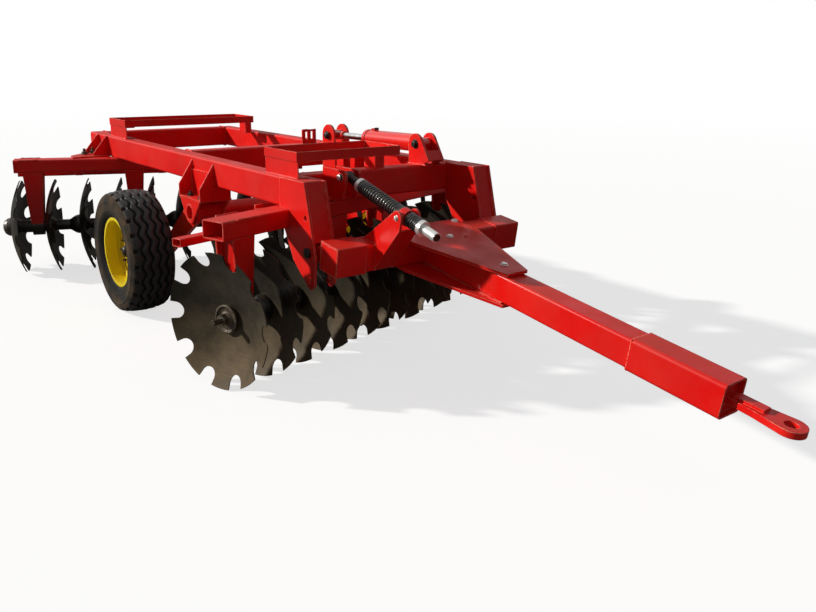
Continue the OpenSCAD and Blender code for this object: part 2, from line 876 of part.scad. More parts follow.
module drawbar_sleeve() {
    color(RED)
        on_drawbar()
            translate([sleeve_x, 0, bar_z]) {
                rotate([90, 0, 90])
                    linear_extrude(sleeve_len)
                        difference() {
                            round_rect(sleeve_side, sleeve_side, 17);
                            round_rect(bar_side, bar_side, 12.8);
                        }
                // plate that closes the mouth round the tongue
                difference() {
                    translate([sleeve_len - 34, -bar_side / 2 + 3, -bar_side / 2 - 2])
                        cube([12, bar_side - 6, bar_side + 4]);
                    translate([sleeve_len - 40, -tongue_w / 2 - fit, -eye_t / 2 - fit])
                        cube([30, tongue_w + 2 * fit, eye_t + 2 * fit]);
                }
            }
}
// Flat forged tongue: parallel in the sleeve, wider towards the eye, with a raised pad behind it
tongue = 330;
tongue_w = 62;
eye_r = 55;
module drawbar_eye() {
    mouth = eye_x - sleeve_x - sleeve_len;
    color(RED)
        on_drawbar()
            translate([eye_x, 0, bar_z])
                difference() {
                    union() {
                        translate([0, 0, -eye_t / 2])
                            cylinder(r = eye_r, h = eye_t);
                        translate([0, 0, -eye_t / 2])
                            linear_extrude(eye_t)
                                polygon([[-tongue, -tongue_w / 2], [-mouth - 8, -tongue_w / 2],
                                         [-0.55 * mouth, -tongue_w / 2 - 6], [-12, -eye_r + 1], [0, -eye_r + 1],
                                         [0, eye_r - 1], [-12, eye_r - 1], [-0.55 * mouth, tongue_w / 2 + 6],
                                         [-mouth - 8, tongue_w / 2], [-tongue, tongue_w / 2]]);
                        // raised pad
                        translate([-mouth + 12, -22, eye_t / 2 - 1])
                            cube([mouth - 100, 44, 13]);
                        // block that holds the tongue inside the tube
                        translate([-tongue - 20, -bar_side / 2 + 9, -bar_side / 2 + 9])
                            cube([20, bar_side - 18, bar_side - 18]);
                    }
                    translate([0, 0, -eye_t])
                        cylinder(r = eye_d / 2, h = 2 * eye_t);
                }
}

// ---------- levelling spring rod ----------

ear_t = 12;
ear_gap = 92;
module trunnion_ears() {
    color(RED)
        on_drawbar()
            difference() {
                union() {
                    for (y = [rod_y - ear_gap / 2 - ear_t, rod_y + ear_gap / 2]) {
                        plate_xz([[bar_x0, -46], [bar_x0, hitch_top - 8], [hitch_x + 30, hitch_top],
                                  [trun_d[0] - 27, trun_d[1] + 20], [trun_d[0] + 34, trun_d[1]],
                                  [trun_d[0] + 30, trun_d[1] - 56]], y, ear_t);
                        bar_y(trun_d[0], y, trun_d[1], 34, ear_t);
                    }
                    // slanting web between the ears
                    plate_xz([[bar_x0, -46], [trun_d[0] + 30, trun_d[1] - 56],
                              [trun_d[0] + 18, trun_d[1] - 56], [bar_x0, -30]],
                             rod_y - ear_gap / 2 - 1, ear_gap + 2);
                }
                bar_y(trun_d[0], rod_y - 100, trun_d[1], 14 + fit, 200);
                translate([hitch_x - 50, rod_y - 100, hitch_top - hitch_side])
                    cube([hitch_side + 50, 200, hitch_side]);
            }
}
// Trunnion's place in the drawbar's frame
trun_v = trun - [tow_x, tow_z];
trun_d = [trun_v[0] * cos(bar_slope) - trun_v[1] * sin(bar_slope),
          trun_v[0] * sin(bar_slope) + trun_v[1] * cos(bar_slope)];

// Children sit in the rod's frame: origin on the rod's pivot, X along the rod
module on_rod() {
    translate([rod_pin[0], rod_y, rod_pin[1]])
        rotate([0, rod_angle, 0])
            children();
}
trun_r = 40;
module trunnion() {
    color(RED)
        on_rod()
            translate([rod_reach, 0, 0])
                difference() {
                    union() {
                        translate([-20, 0, 0])
                            rotate([0, 90, 0])
                                cylinder(r = trun_r, h = 40);
                        translate([0, ear_gap / 2 + ear_t, 0])
                            rotate([90, 0, 0])
                                cylinder(r = 14, h = ear_gap + 2 * ear_t);
                    }
                    translate([-100, 0, 0])
                        rotate([0, 90, 0])
                            cylinder(r = rod_r + 4, h = 200);
                }
}
nut_r = 36;
rod_nut = 24;
sleeve_r = 23;
module levelling_rod() {
    rod_end = 710;
    lower_nut = rod_reach + 112;
    color("silver")
        on_rod() {
            translate([60, 0, 0])
                rotate([0, 90, 0])
                    cylinder(r = rod_r, h = rod_end - 60);
            for (x = [105, lower_nut])
                translate([x, 0, 0])
                    rotate([0, 90, 0])
                        cylinder(r = nut_r, h = rod_nut);
            // plain sleeve that guards the thread beyond the lower nut
            translate([lower_nut + rod_nut - 1, 0, 0])
                rotate([0, 90, 0])
                    cylinder(r = sleeve_r, h = rod_end - lower_nut - rod_nut + 1);
        }
}
// Forged eye on the rod's upper end, tapered down to the thread
module rod_eye() {
    color(BLACK)
        on_rod()
            difference() {
                union() {
                    translate([0, 20, 0])
                        rotate([90, 0, 0])
                            cylinder(r = 28, h = 40);
                    rotate([0, 90, 0])
                        cylinder(r1 = 20, r2 = 25, h = 84);
                }
                translate([59, 0, 0])
                    rotate([0, 90, 0])
                        cylinder(r = rod_r, h = 30);
                translate([0, 50, 0])
                    rotate([90, 0, 0])
                        cylinder(r = 12 + fit, h = 100);
            }
}
module spring(x, len) {
    color(BLACK)
        on_rod()
            translate([x, 0, 0])
                rotate([0, 90, 0])
                    difference() {
                        cylinder(r = spring_r, h = len);
                        translate([0, 0, -1])
                            cylinder(r = spring_r - spring_wire, h = len + 2);
                    }
}
module spring_rod_bracket() {
    outline = [[-210, 994], [-14, 994], [0, 980], [0, 940], [-27, 856], [-46, 844], [-120, 844],
               [-210, 868]];
    color(RED)
        difference() {
            for (y = [rod_y - 46, rod_y + 34])
                plate_xz(outline, y, 12);
            bar_y(rod_pin[0], rod_y - 100, rod_pin[1], 12, 200);
        }
}

// Comb across the middle cross-beam that keeps the hoses of the lift cylinder apart
module hose_rack() {
    color(RED)
        difference() {
            translate([-1512, 304, beam_top])
                cube([10, 108, 98]);
            for (y = [328, 370]) {
                translate([-1520, y, beam_top + 42])
                    cube([30, 18, 60]);
                translate([-1520, y + 9, beam_top + 42])
                    rotate([0, 90, 0])
                        cylinder(r = 9, h = 30);
            }
        }
}

at_eye() main_beam(-1);  // right_main_beam
at_eye() main_beam(1);  // left_main_beam
at_eye() cross_beam(-310);  // front_cross_beam
at_eye() cross_beam(-1600);  // middle_cross_beam
at_eye() cross_beam(-beam_len);  // rear_cross_beam
at_eye() front_ballast_tray();
at_eye() rear_ballast_tray();
at_eye() tow_bracket(-1);  // right_tow_bracket
at_eye() tow_bracket(1);  // left_tow_bracket
at_eye() shaft_bracket(-1);  // right_shaft_bracket
at_eye() shaft_bracket(1);  // left_shaft_bracket
at_eye() cylinder_clevis();
at_eye() spring_rod_bracket();
at_eye() hose_rack();
at_eye() hinge_pins();
at_eye() on_front_gang() gang_beam(front_beam_end);  // front_gang_beam
at_eye() on_front_gang() hangers();  // front_hangers
at_eye() on_front_gang() bearings();  // front_bearings
at_eye() on_front_gang() scraper_bar();  // front_scraper_bar
at_eye() on_front_gang() scrapers();  // front_scrapers
at_eye() on_rear_gang() gang_beam(rear_beam_end);  // rear_gang_beam
at_eye() on_rear_gang() hangers();  // rear_hangers
at_eye() on_rear_gang() bearings();  // rear_bearings
at_eye() on_rear_gang() scraper_bar();  // rear_scraper_bar
at_eye() gang_clamps();
at_eye() hitch_beam();
at_eye() hitch_plate(hitch_top);  // upper_hitch_plate
at_eye() hitch_plate(hitch_top - hitch_side - plate_t);  // lower_hitch_plate
at_eye() drawbar_tube();
at_eye() drawbar_sleeve();
at_eye() drawbar_eye();
at_eye() trunnion_ears();
at_eye() trunnion();
at_eye() rod_eye();
at_eye() levelling_rod();
at_eye() spring(130, rod_reach - 152);  // long_spring
at_eye() spring(rod_reach + 22, 88);  // short_spring
at_eye() on_front_gang() discs();  // front_discs
at_eye() on_front_gang() spools();  // front_spools
at_eye() on_front_gang() gang_axle();  // front_gang_axle
at_eye() on_rear_gang() discs();  // rear_discs
at_eye() on_rear_gang() spools();  // rear_spools
at_eye() on_rear_gang() gang_axle();  // rear_gang_axle
at_eye() rockshaft();
at_eye() wheel_arms();
at_eye() tyre(-1);  // right_tyre
at_eye() wheel(-1);  // right_wheel
at_eye() tyre(1);  // left_tyre
at_eye() wheel(1);  // left_wheel
at_eye() lift_cylinder();
at_eye() lift_cylinder_rod();
at_eye() lift_cylinder_eye();
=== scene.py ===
"""Looks of a trailed offset disc harrow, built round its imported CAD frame. Lengths are metres."""
import math

import bmesh
import bpy
from mathutils import Matrix, Vector


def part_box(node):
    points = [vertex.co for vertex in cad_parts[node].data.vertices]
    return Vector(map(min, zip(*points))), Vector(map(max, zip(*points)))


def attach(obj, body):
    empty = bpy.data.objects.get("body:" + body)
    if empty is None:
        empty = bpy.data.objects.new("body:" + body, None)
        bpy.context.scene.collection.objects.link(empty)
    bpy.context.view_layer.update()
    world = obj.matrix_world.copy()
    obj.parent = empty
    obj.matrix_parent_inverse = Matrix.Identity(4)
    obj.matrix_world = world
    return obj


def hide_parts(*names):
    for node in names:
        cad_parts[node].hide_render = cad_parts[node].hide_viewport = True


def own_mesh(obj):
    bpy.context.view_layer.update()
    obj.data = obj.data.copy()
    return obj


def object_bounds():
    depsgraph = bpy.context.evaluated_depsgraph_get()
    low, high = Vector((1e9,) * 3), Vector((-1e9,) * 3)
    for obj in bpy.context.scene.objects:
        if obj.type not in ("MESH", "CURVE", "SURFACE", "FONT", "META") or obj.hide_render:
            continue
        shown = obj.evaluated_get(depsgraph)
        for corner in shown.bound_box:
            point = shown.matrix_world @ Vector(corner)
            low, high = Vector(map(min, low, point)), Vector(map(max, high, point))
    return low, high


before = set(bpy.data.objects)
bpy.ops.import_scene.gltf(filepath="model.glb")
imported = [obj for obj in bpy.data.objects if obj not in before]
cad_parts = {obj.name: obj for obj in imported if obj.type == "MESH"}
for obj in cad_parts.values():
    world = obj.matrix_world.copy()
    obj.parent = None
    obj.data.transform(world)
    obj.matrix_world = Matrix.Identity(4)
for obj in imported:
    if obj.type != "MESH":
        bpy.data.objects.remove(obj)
cad_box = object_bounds()

# ---------- studio ----------
# The harrow stands on a plain pale floor. A key lamp shines from behind its right side, 25 degrees up,
# and pale surroundings fill the shade. The camera looks over the drawbar at the right front corner.
ground = cad_box[0].z
# The front ends of the main beams, on the centre line at the ground, from which places are given
zero = Vector((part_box("left_main_beam")[1].x, 0, ground))


def at(x, y, z):
    """A place on the machine: x forward of the beams' front ends, y left of the centre line, z above the ground."""
    return zero + Vector((x, y, z))


def camera_turn(azimuth, elevation, roll):
    """The camera's rotation for a compass angle, a height angle and a roll, all in degrees."""
    aside, above = math.radians(azimuth), math.radians(elevation)
    back = Vector((math.sin(aside) * math.cos(above), -math.cos(aside) * math.cos(above), math.sin(above)))
    right = Vector((0, 0, 1)).cross(back).normalized()
    up = back.cross(right)
    turn = Matrix((right, up, back)).transposed().to_4x4()
    return turn @ Matrix.Rotation(math.radians(roll), 4, "Z")


eye_place = at(3.2627, -2.556, 1.5227)
eye_turn = camera_turn(azimuth=51.911, elevation=14.249, roll=0.752)
camera = bpy.data.objects.new("camera", bpy.data.cameras.new("camera"))
bpy.context.collection.objects.link(camera)
camera.matrix_world = Matrix.Translation(eye_place) @ eye_turn
camera.data.lens = 35.57
camera.data.shift_x = 0.0071
camera.data.shift_y = -0.0502
camera.data.clip_end = 400
bpy.context.scene.camera = camera
bpy.context.scene.view_settings.view_transform = "Standard"

light_way = Vector((0.63, 0.66, -0.42))
lamp = bpy.data.objects.new("key_lamp", bpy.data.lights.new("key_lamp", "SUN"))
lamp.data.energy = 3.9
lamp.data.angle = math.radians(2.5)
lamp.data.color = (1.0, 0.97, 0.92)
lamp.rotation_euler = light_way.to_track_quat("-Z", "Y").to_euler()
bpy.context.collection.objects.link(lamp)


def add(tree, kind, inputs=None, **settings):
    """Adds a node to a tree: settings are its properties, and inputs holds values or sockets by name or number."""
    made = tree.nodes.new(kind)
    for name, value in settings.items():
        setattr(made, name, value)
    for key, value in (inputs or {}).items():
        if isinstance(value, bpy.types.NodeSocket):
            tree.links.new(value, made.inputs[key])
        else:
            made.inputs[key].default_value = value
    return made


def calc(tree, operation, a, b=0.0, c=0.0):
    """The result of a Math node."""
    return add(tree, "ShaderNodeMath", {0: a, 1: b, 2: c}, operation=operation).outputs[0]


def clamped(tree, operation, a, b):
    """The result of a Math node, kept between 0 and 1."""
    return add(tree, "ShaderNodeMath", {0: a, 1: b}, operation=operation, use_clamp=True).outputs[0]


def ramp(tree, value, low=0.0, high=1.0, start=0.0, end=1.0):
    """A number that goes from start to end as a value goes from low to high, and stays between them."""
    inputs = {"Value": value, "From Min": low, "From Max": high, "To Min": start, "To Max": end}
    return add(tree, "ShaderNodeMapRange", inputs).outputs[0]


world = bpy.data.worlds.new("surroundings")
bpy.context.scene.world = world
world.use_nodes = True
sky = world.node_tree
sky.nodes.clear()
ray = add(sky, "ShaderNodeLightPath")
seen = clamped(sky, "ADD", ray.outputs["Is Camera Ray"], ray.outputs["Is Transmission Ray"])
fill = add(sky, "ShaderNodeBackground", {"Color": (0.93, 0.96, 1, 1), "Strength": 0.17})
# Gloss mirrors surroundings that are dim at the skyline and pale overhead
way = add(sky, "ShaderNodeSeparateXYZ", {0: add(sky, "ShaderNodeTexCoord").outputs["Generated"]}).outputs[2]
overhead = ramp(sky, way, high=0.55, start=0.14, end=0.85)
mirrored = add(sky, "ShaderNodeBackground", {"Color": (1, 1, 1, 1), "Strength": overhead})
white = add(sky, "ShaderNodeBackground", {"Color": (1, 1, 1, 1), "Strength": 1.0})
lit = add(sky, "ShaderNodeMixShader", {0: ray.outputs["Is Glossy Ray"], 1: fill.outputs[0], 2: mirrored.outputs[0]})
backdrop = add(sky, "ShaderNodeMixShader", {0: seen, 1: lit.outputs[0], 2: white.outputs[0]})
add(sky, "ShaderNodeOutputWorld", {0: backdrop.outputs[0]})

floor_radius, floor_drop = 150, 0.0005
fade_start, fade_end = 4.0, 22.0
floor_mesh = bpy.data.meshes.new("floor")
shape = bmesh.new()
bmesh.ops.create_circle(shape, cap_ends=True, radius=floor_radius, segments=128)
shape.to_mesh(floor_mesh)
shape.free()
floor_mesh.transform(Matrix.Translation((zero.x, 0, ground - floor_drop)))
floor = bpy.data.objects.new("floor", floor_mesh)
bpy.context.collection.objects.link(floor)
pale = bpy.data.materials.new("pale_floor")
pale.use_nodes = True
tree = pale.node_tree
tree.nodes.clear()
ray = add(tree, "ShaderNodeLightPath")
spot = add(tree, "ShaderNodeTexCoord").outputs["Object"]
away = add(tree, "ShaderNodeVectorMath", {0: spot, 1: (zero.x, 0, ground)}, operation="DISTANCE").outputs["Value"]
far = ramp(tree, away, fade_start, fade_end)
matt = add(tree, "ShaderNodeBsdfDiffuse", {"Color": (0.40, 0.40, 0.40, 1)})
dim = add(tree, "ShaderNodeBsdfDiffuse", {"Color": (0.26, 0.25, 0.24, 1)})
glow = add(tree, "ShaderNodeEmission", {"Color": (1, 1, 1, 1), "Strength": 0.7})
lifted = add(tree, "ShaderNodeAddShader", {0: matt.outputs[0], 1: glow.outputs[0]})
plain = add(tree, "ShaderNodeEmission", {"Color": (1, 1, 1, 1), "Strength": 1.0})
near = add(tree, "ShaderNodeMixShader", {0: ray.outputs["Is Camera Ray"], 1: dim.outputs[0], 2: lifted.outputs[0]})
faded = clamped(tree, "MULTIPLY", far, ray.outputs["Is Camera Ray"])
whole = add(tree, "ShaderNodeMixShader", {0: faded, 1: near.outputs[0], 2: plain.outputs[0]})
add(tree, "ShaderNodeOutputMaterial", {0: whole.outputs[0]})
floor_mesh.materials.append(pale)

# ---------- main frame ----------
# Beams, brackets and trays are welded of steel tube and plate, and sprayed with one coat of gloss red
# enamel. It is dusty on top, and pale along edges and corners, partly rubbed paint and partly a painted highlight.


def new_group(name, inputs, outputs):
    """A shader node group with named sockets: each is a name, its socket type and, for an input, its usual value."""
    made = bpy.data.node_groups.new(name, "ShaderNodeTree")
    for label, kind, value in inputs:
        socket = made.interface.new_socket(label, in_out="INPUT", socket_type=kind)
        socket.default_value = value
    for label, kind in outputs:
        made.interface.new_socket(label, in_out="OUTPUT", socket_type=kind)
    return made, add(made, "NodeGroupInput").outputs, add(made, "NodeGroupOutput").inputs


def noise(tree, place, scale, detail=2.0, roughness=0.5):
    """Cloudy noise about 0.5 at a place."""
    inputs = {"Vector": place, "Scale": scale, "Detail": detail, "Roughness": roughness}
    return add(tree, "ShaderNodeTexNoise", inputs).outputs[0]


def mix_colour(tree, share, a, b):
    """The colour between a and b by share."""
    return add(tree, "ShaderNodeMix", {0: share, 6: a, 7: b}, data_type="RGBA").outputs[2]


FLOAT, INT, VECTOR = "NodeSocketFloat", "NodeSocketInt", "NodeSocketVector"

# Edges: the rounded normal of a sheared or sawn edge, and where its edge colour goes: rubbed finish, and in the red
# and the worn steel also a painted highlight
edges, given, result = new_group(
    "edges",
    [("Radius", FLOAT, 0.003), ("Patch size", FLOAT, 14.0)],
    [("Edge mark", FLOAT), ("Normal", VECTOR)],
)
rounded = add(edges, "ShaderNodeBevel", {"Radius": given["Radius"]}, samples=4).outputs[0]
flat = add(edges, "ShaderNodeNewGeometry").outputs["Normal"]
alike = add(edges, "ShaderNodeVectorMath", {0: rounded, 1: flat}, operation="DOT_PRODUCT").outputs["Value"]
on_edge = ramp(edges, alike, 0.988, 0.90)
spot = add(edges, "ShaderNodeTexCoord").outputs["Object"]
patchy = ramp(edges, noise(edges, spot, given["Patch size"], 5.0, 0.65), 0.36, 0.62)
edges.links.new(clamped(edges, "MULTIPLY", on_edge, patchy), result["Edge mark"])
edges.links.new(rounded, result["Normal"])

# Dust: how much field dust lies on a spot, most on faces that look up
dust, given, result = new_group(
    "dust",
    [("Amount", FLOAT, 0.5), ("Patch size", FLOAT, 4.0)],
    [("Dust", FLOAT)],
)
spot = add(dust, "ShaderNodeTexCoord").outputs["Object"]
flat = add(dust, "ShaderNodeNewGeometry").outputs["Normal"]
upward = ramp(dust, add(dust, "ShaderNodeSeparateXYZ", {0: flat}).outputs[2], -0.2, 0.95, start=0.22)
cloudy = ramp(dust, noise(dust, spot, given["Patch size"], 8.0, 0.62), 0.35, 0.75)
some = clamped(dust, "MULTIPLY", clamped(dust, "MULTIPLY", upward, cloudy), given["Amount"])
dust.links.new(some, result["Dust"])


def new_material(name):
    """An empty material, its tree, and the object coordinates in it."""
    made = bpy.data.materials.new(name)
    made.use_nodes = True
    made.node_tree.nodes.clear()
    return made, made.node_tree, add(made.node_tree, "ShaderNodeTexCoord").outputs["Object"]


def marked_edges(tree, radius, patches):
    """The shared edges in a material: where they take an edge colour, worn finish and in some materials a painted
    highlight, and their rounded normal.
    """
    placed = add(tree, "ShaderNodeGroup", {"Radius": radius, "Patch size": patches}, node_tree=edges)
    return placed.outputs["Edge mark"], placed.outputs["Normal"]


def dusted(tree, amount, patches):
    """The shared dust in a material."""
    placed = add(tree, "ShaderNodeGroup", {"Amount": amount, "Patch size": patches}, node_tree=dust)
    return placed.outputs["Dust"]


def finish_material(tree, colour, roughness, normal, height=None, bump=0.1, distance=0.001, **constants):
    """Ends a material in a Principled shader. Constants are set on its own sockets."""
    if height is not None:
        raised = {"Strength": bump, "Distance": distance, "Height": height}
        if normal is not None:
            raised["Normal"] = normal
        normal = add(tree, "ShaderNodeBump", raised).outputs[0]
    inputs = {"Base Color": colour, "Roughness": roughness}
    if normal is not None:
        inputs["Normal"] = normal
    for name, value in constants.items():
        inputs[name.replace("_", " ").title().replace("Ior", "IOR")] = value
    shader = add(tree, "ShaderNodeBsdfPrincipled", inputs)
    add(tree, "ShaderNodeOutputMaterial", {0: shader.outputs[0]})


def enamel(name, bright, deep, dirt, edge_tint, dusty, coat=0.22, coat_roughness=0.24):
    """Sprayed gloss enamel: bright and deep are its shades, dirt lies on it, and an edge tint shows at its edges, as
    rubbed paint and, in the red, also a painted highlight.
    """
    made, tree, spot = new_material(name)
    edge_mark, normal = marked_edges(tree, radius=0.005, patches=9.0)
    dirty = dusted(tree, dusty, patches=5.0)
    shade = ramp(tree, noise(tree, spot, 2.2, 3.0), 0.3, 0.7)
    streaked = add(tree, "ShaderNodeMapping", {"Vector": spot, "Scale": (9.0, 9.0, 2.0)}).outputs[0]
    streaks = noise(tree, streaked, 2.5, 6.0)
    colour = mix_colour(tree, shade, deep, bright)
    colour = mix_colour(tree, ramp(tree, streaks, 0.55, 0.8, end=0.35), colour, deep)
    colour = mix_colour(tree, dirty, colour, dirt)
    # Edge tint on the edges: rubbed paint, and in the red also a painted highlight
    colour = mix_colour(tree, edge_mark, colour, edge_tint)
    rough = clamped(tree, "ADD", ramp(tree, streaks, start=0.27, end=0.42), dirty)
    peel = noise(tree, spot, 170.0)
    swells = noise(tree, spot, 11.0)
    skin = calc(tree, "MULTIPLY_ADD", swells, 6.0, peel)
    finish_material(
        tree, colour, rough, normal, height=skin, bump=0.12, distance=0.0012,
        specular_ior_level=0.14, coat_weight=coat, coat_roughness=coat_roughness,
    )
    return made


# The red's pale edge tint is partly rubbed paint and partly a painted highlight on its edges
red = enamel(
    "red_enamel",
    bright=(0.90, 0.006, 0.003, 1), deep=(0.70, 0.003, 0.003, 1), dirt=(0.50, 0.11, 0.07, 1),
    edge_tint=(0.92, 0.44, 0.32, 1), dusty=0.45,
)


def finish_nodes(material, *names):
    """Gives CAD nodes a material in every slot."""
    for name in names:
        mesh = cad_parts[name].data
        if not mesh.materials:
            mesh.materials.append(material)
        for i in range(len(mesh.materials)):
            mesh.materials[i] = material


finish_nodes(
    red, "right_main_beam", "left_main_beam", "front_cross_beam", "middle_cross_beam", "rear_cross_beam",
    "right_tow_bracket", "left_tow_bracket", "right_shaft_bracket", "left_shaft_bracket", "cylinder_clevis",
    "spring_rod_bracket", "hose_rack", "front_ballast_tray", "rear_ballast_tray",
)

# ---------- welds of the main frame ----------
# The tubes and plates are arc welded. Each joint has a bead of fine ripples, painted over with the
# rest, so it is drawn as a rippled rod laid in the corner.


def new_tree(name, inputs):
    """An empty Geometry Nodes tree with a geometry in and out, and named inputs with their usual values."""
    tree = bpy.data.node_groups.new(name, "GeometryNodeTree")
    tree.interface.new_socket("Geometry", in_out="INPUT", socket_type="NodeSocketGeometry")
    for label, kind, value in inputs:
        tree.interface.new_socket(label, in_out="INPUT", socket_type=kind).default_value = value
    tree.interface.new_socket("Material", in_out="INPUT", socket_type="NodeSocketMaterial")
    tree.interface.new_socket("Geometry", in_out="OUTPUT", socket_type="NodeSocketGeometry")
    return tree, add(tree, "NodeGroupInput").outputs, add(tree, "NodeGroupOutput").inputs[0]


def finish_tree(tree, geometry, material, result):
    """Ends a tree: real geometry in place of instances, then the material."""
    real = add(tree, "GeometryNodeRealizeInstances", {0: geometry})
    painted = add(tree, "GeometryNodeSetMaterial", {"Geometry": real.outputs[0], "Material": material})
    tree.links.new(painted.outputs[0], result)


def grow(name, mesh, tree, values, body):
    """Runs a Geometry Nodes tree on a mesh, keeps what it makes as a plain mesh, and fixes that to a body."""
    thing = bpy.data.objects.new(name, mesh)
    bpy.context.collection.objects.link(thing)
    modifier = thing.modifiers.new("nodes", "NODES")
    modifier.node_group = tree
    for item in tree.interface.items_tree:
        if item.in_out == "INPUT" and item.name in values:
            modifier[item.identifier] = values[item.name]
    bpy.context.view_layer.update()
    made = bpy.data.meshes.new_from_object(thing.evaluated_get(bpy.context.evaluated_depsgraph_get()))
    thing.modifiers.clear()
    thing.data = made
    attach(thing, body)
    return thing


bead, given, result = new_tree("weld_bead", [("Radius", FLOAT, 0.005), ("Ripple", FLOAT, 0.004), ("Sides", INT, 6)])
joint = add(bead, "GeometryNodeMeshToCurve", {"Mesh": given["Geometry"]})
steps = add(bead, "GeometryNodeResampleCurve", {"Curve": joint.outputs[0], "Length": given["Ripple"]}, mode="LENGTH")
wave = calc(bead, "SINE", calc(bead, "MULTIPLY", add(bead, "GeometryNodeInputIndex").outputs[0], 1.9))
blot = noise(bead, add(bead, "GeometryNodeInputPosition").outputs[0], 45.0)
size = calc(bead, "ADD", calc(bead, "MULTIPLY_ADD", wave, 0.16, blot), 0.45)
ring = add(bead, "GeometryNodeCurvePrimitiveCircle", {"Resolution": given["Sides"], "Radius": given["Radius"]})
swept = add(
    bead, "GeometryNodeCurveToMesh",
    {"Curve": steps.outputs[0], "Profile Curve": ring.outputs[0], "Scale": size, "Fill Caps": True},
)
smooth = add(bead, "GeometryNodeSetShadeSmooth", {"Geometry": swept.outputs[0]})
finish_tree(bead, smooth.outputs[0], given["Material"], result)


def lay_beads(name, paths, body, radius, ripple=0.004, sides=6):
    """Red beads along paths of points."""
    points, links = [], []
    for path in paths:
        first = len(points)
        points += [Vector(p) for p in path]
        links += [(first + i, first + i + 1) for i in range(len(path) - 1)]
    mesh = bpy.data.meshes.new(name)
    mesh.from_pydata(points, links, [])
    grow(name, mesh, bead, {"Radius": radius, "Ripple": ripple, "Sides": sides, "Material": red}, body)


def loop_round(low, high):
    """The loop round a rectangle in a plane: low and high differ in two of three directions."""
    low, high = Vector(low), Vector(high)
    across = [i for i in range(3) if abs(high[i] - low[i]) > 1e-6]
    loop = []
    for pick in ((0, 0), (1, 0), (1, 1), (0, 1), (0, 0)):
        corner = low.copy()
        for axis, use in zip(across, pick):
            corner[axis] = high[axis] if use else low[axis]
        loop.append(corner)
    return loop


beam_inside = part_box("left_main_beam")[0].y
beam_outside = 0.59
beam_low, beam_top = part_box("left_main_beam")[0].z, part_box("left_main_beam")[1].z
plate_inset, bead_end, bracket_end, clevis_nose, tray_end, tray_side = 0.012, 0.004, 0.03, 0.02, 0.01, 0.005
frame_welds = []
for name in ("front_cross_beam", "middle_cross_beam", "rear_cross_beam"):
    low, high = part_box(name)
    for y in (-beam_inside, beam_inside):
        frame_welds.append(loop_round((low.x, y, low.z), (high.x, y, high.z)))
for name in ("right_tow_bracket", "left_tow_bracket"):
    low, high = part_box(name)
    for y in (low.y + plate_inset, high.y - plate_inset):
        frame_welds.append([(low.x, y, beam_top - bead_end), (low.x, y, beam_low + bead_end)])
for name, y in (("right_shaft_bracket", -beam_outside), ("left_shaft_bracket", beam_outside)):
    low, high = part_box(name)
    for x in (low.x + plate_inset, high.x - plate_inset):
        frame_welds.append([(x, y, beam_low + bracket_end), (x, y, min(high.z, beam_top) - bracket_end)])
low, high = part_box("cylinder_clevis")
for y in (low.y, high.y):
    frame_welds.append([(low.x + bead_end, y, beam_top), (high.x - clevis_nose, y, beam_top)])
low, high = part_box("hose_rack")
frame_welds.append([(high.x, low.y, beam_top), (high.x, high.y, beam_top)])
for name in ("front_ballast_tray", "rear_ballast_tray"):
    low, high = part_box(name)
    y = low.y + tray_side
    frame_welds.append([(low.x + tray_end, y, beam_top), (high.x - tray_end, y, beam_top)])
lay_beads("frame_welds", frame_welds, "frame", radius=0.0065)

# ---------- pins and bolts of the main frame ----------
# Hexagon heads hold the cylinder's pin and the feet of the shaft brackets, black like the castings,
# and the levelling rod's pin, in bright zinc plate. Each is a washer, a head with a chamfered top
# and, where it is a nut, the end of a stud.
black, tree, spot = new_material("black_castings")
edge_mark, normal = marked_edges(tree, radius=0.003, patches=22.0)
dirty = dusted(tree, amount=0.75, patches=7.0)
colour = mix_colour(tree, dirty, (0.007, 0.007, 0.007, 1), (0.085, 0.058, 0.034, 1))
colour = mix_colour(tree, edge_mark, colour, (0.07, 0.055, 0.045, 1))
rough = ramp(tree, dirty, start=0.34, end=0.8)
grain = noise(tree, spot, 260.0, 3.0)
finish_material(tree, colour, rough, normal, height=grain, bump=0.3, distance=0.0006, specular_ior_level=0.3)

zinc, tree, spot = new_material("zinc_plate")
edge_mark, normal = marked_edges(tree, radius=0.0012, patches=30.0)
tone = noise(tree, spot, 60.0, 4.0)
colour = mix_colour(tree, tone, (0.62, 0.61, 0.58, 1), (0.86, 0.85, 0.82, 1))
colour = mix_colour(tree, dusted(tree, amount=0.35, patches=9.0), colour, (0.20, 0.15, 0.11, 1))
rough = ramp(tree, tone, start=0.22, end=0.42)
finish_material(tree, colour, rough, normal, height=tone, bump=0.15, distance=0.0004, metallic=0.55)

hexes, given, result = new_tree(
    "hexagon_fasteners",
    [("Radius", FLOAT, 0.012), ("Height", FLOAT, 0.01), ("Washer", FLOAT, 0.015), ("Stud", FLOAT, 0.0),
     ("Seed", INT, 1)],
)


def scaled(tree, value, factor):
    """A value times a factor."""
    return calc(tree, "MULTIPLY", value, factor)


def stood(tree, geometry, height):
    """Geometry moved up its own axis by a height."""
    up = add(tree, "ShaderNodeCombineXYZ", {"Z": height})
    return add(tree, "GeometryNodeTransform", {"Geometry": geometry, "Translation": up.outputs[0]}).outputs[0]


def cone(tree, sides, low_radius, top_radius, height):
    """A cone's stump about its own middle."""
    inputs = {"Vertices": sides, "Radius Bottom": low_radius, "Radius Top": top_radius, "Depth": height}
    return add(tree, "GeometryNodeMeshCone", inputs).outputs[0]


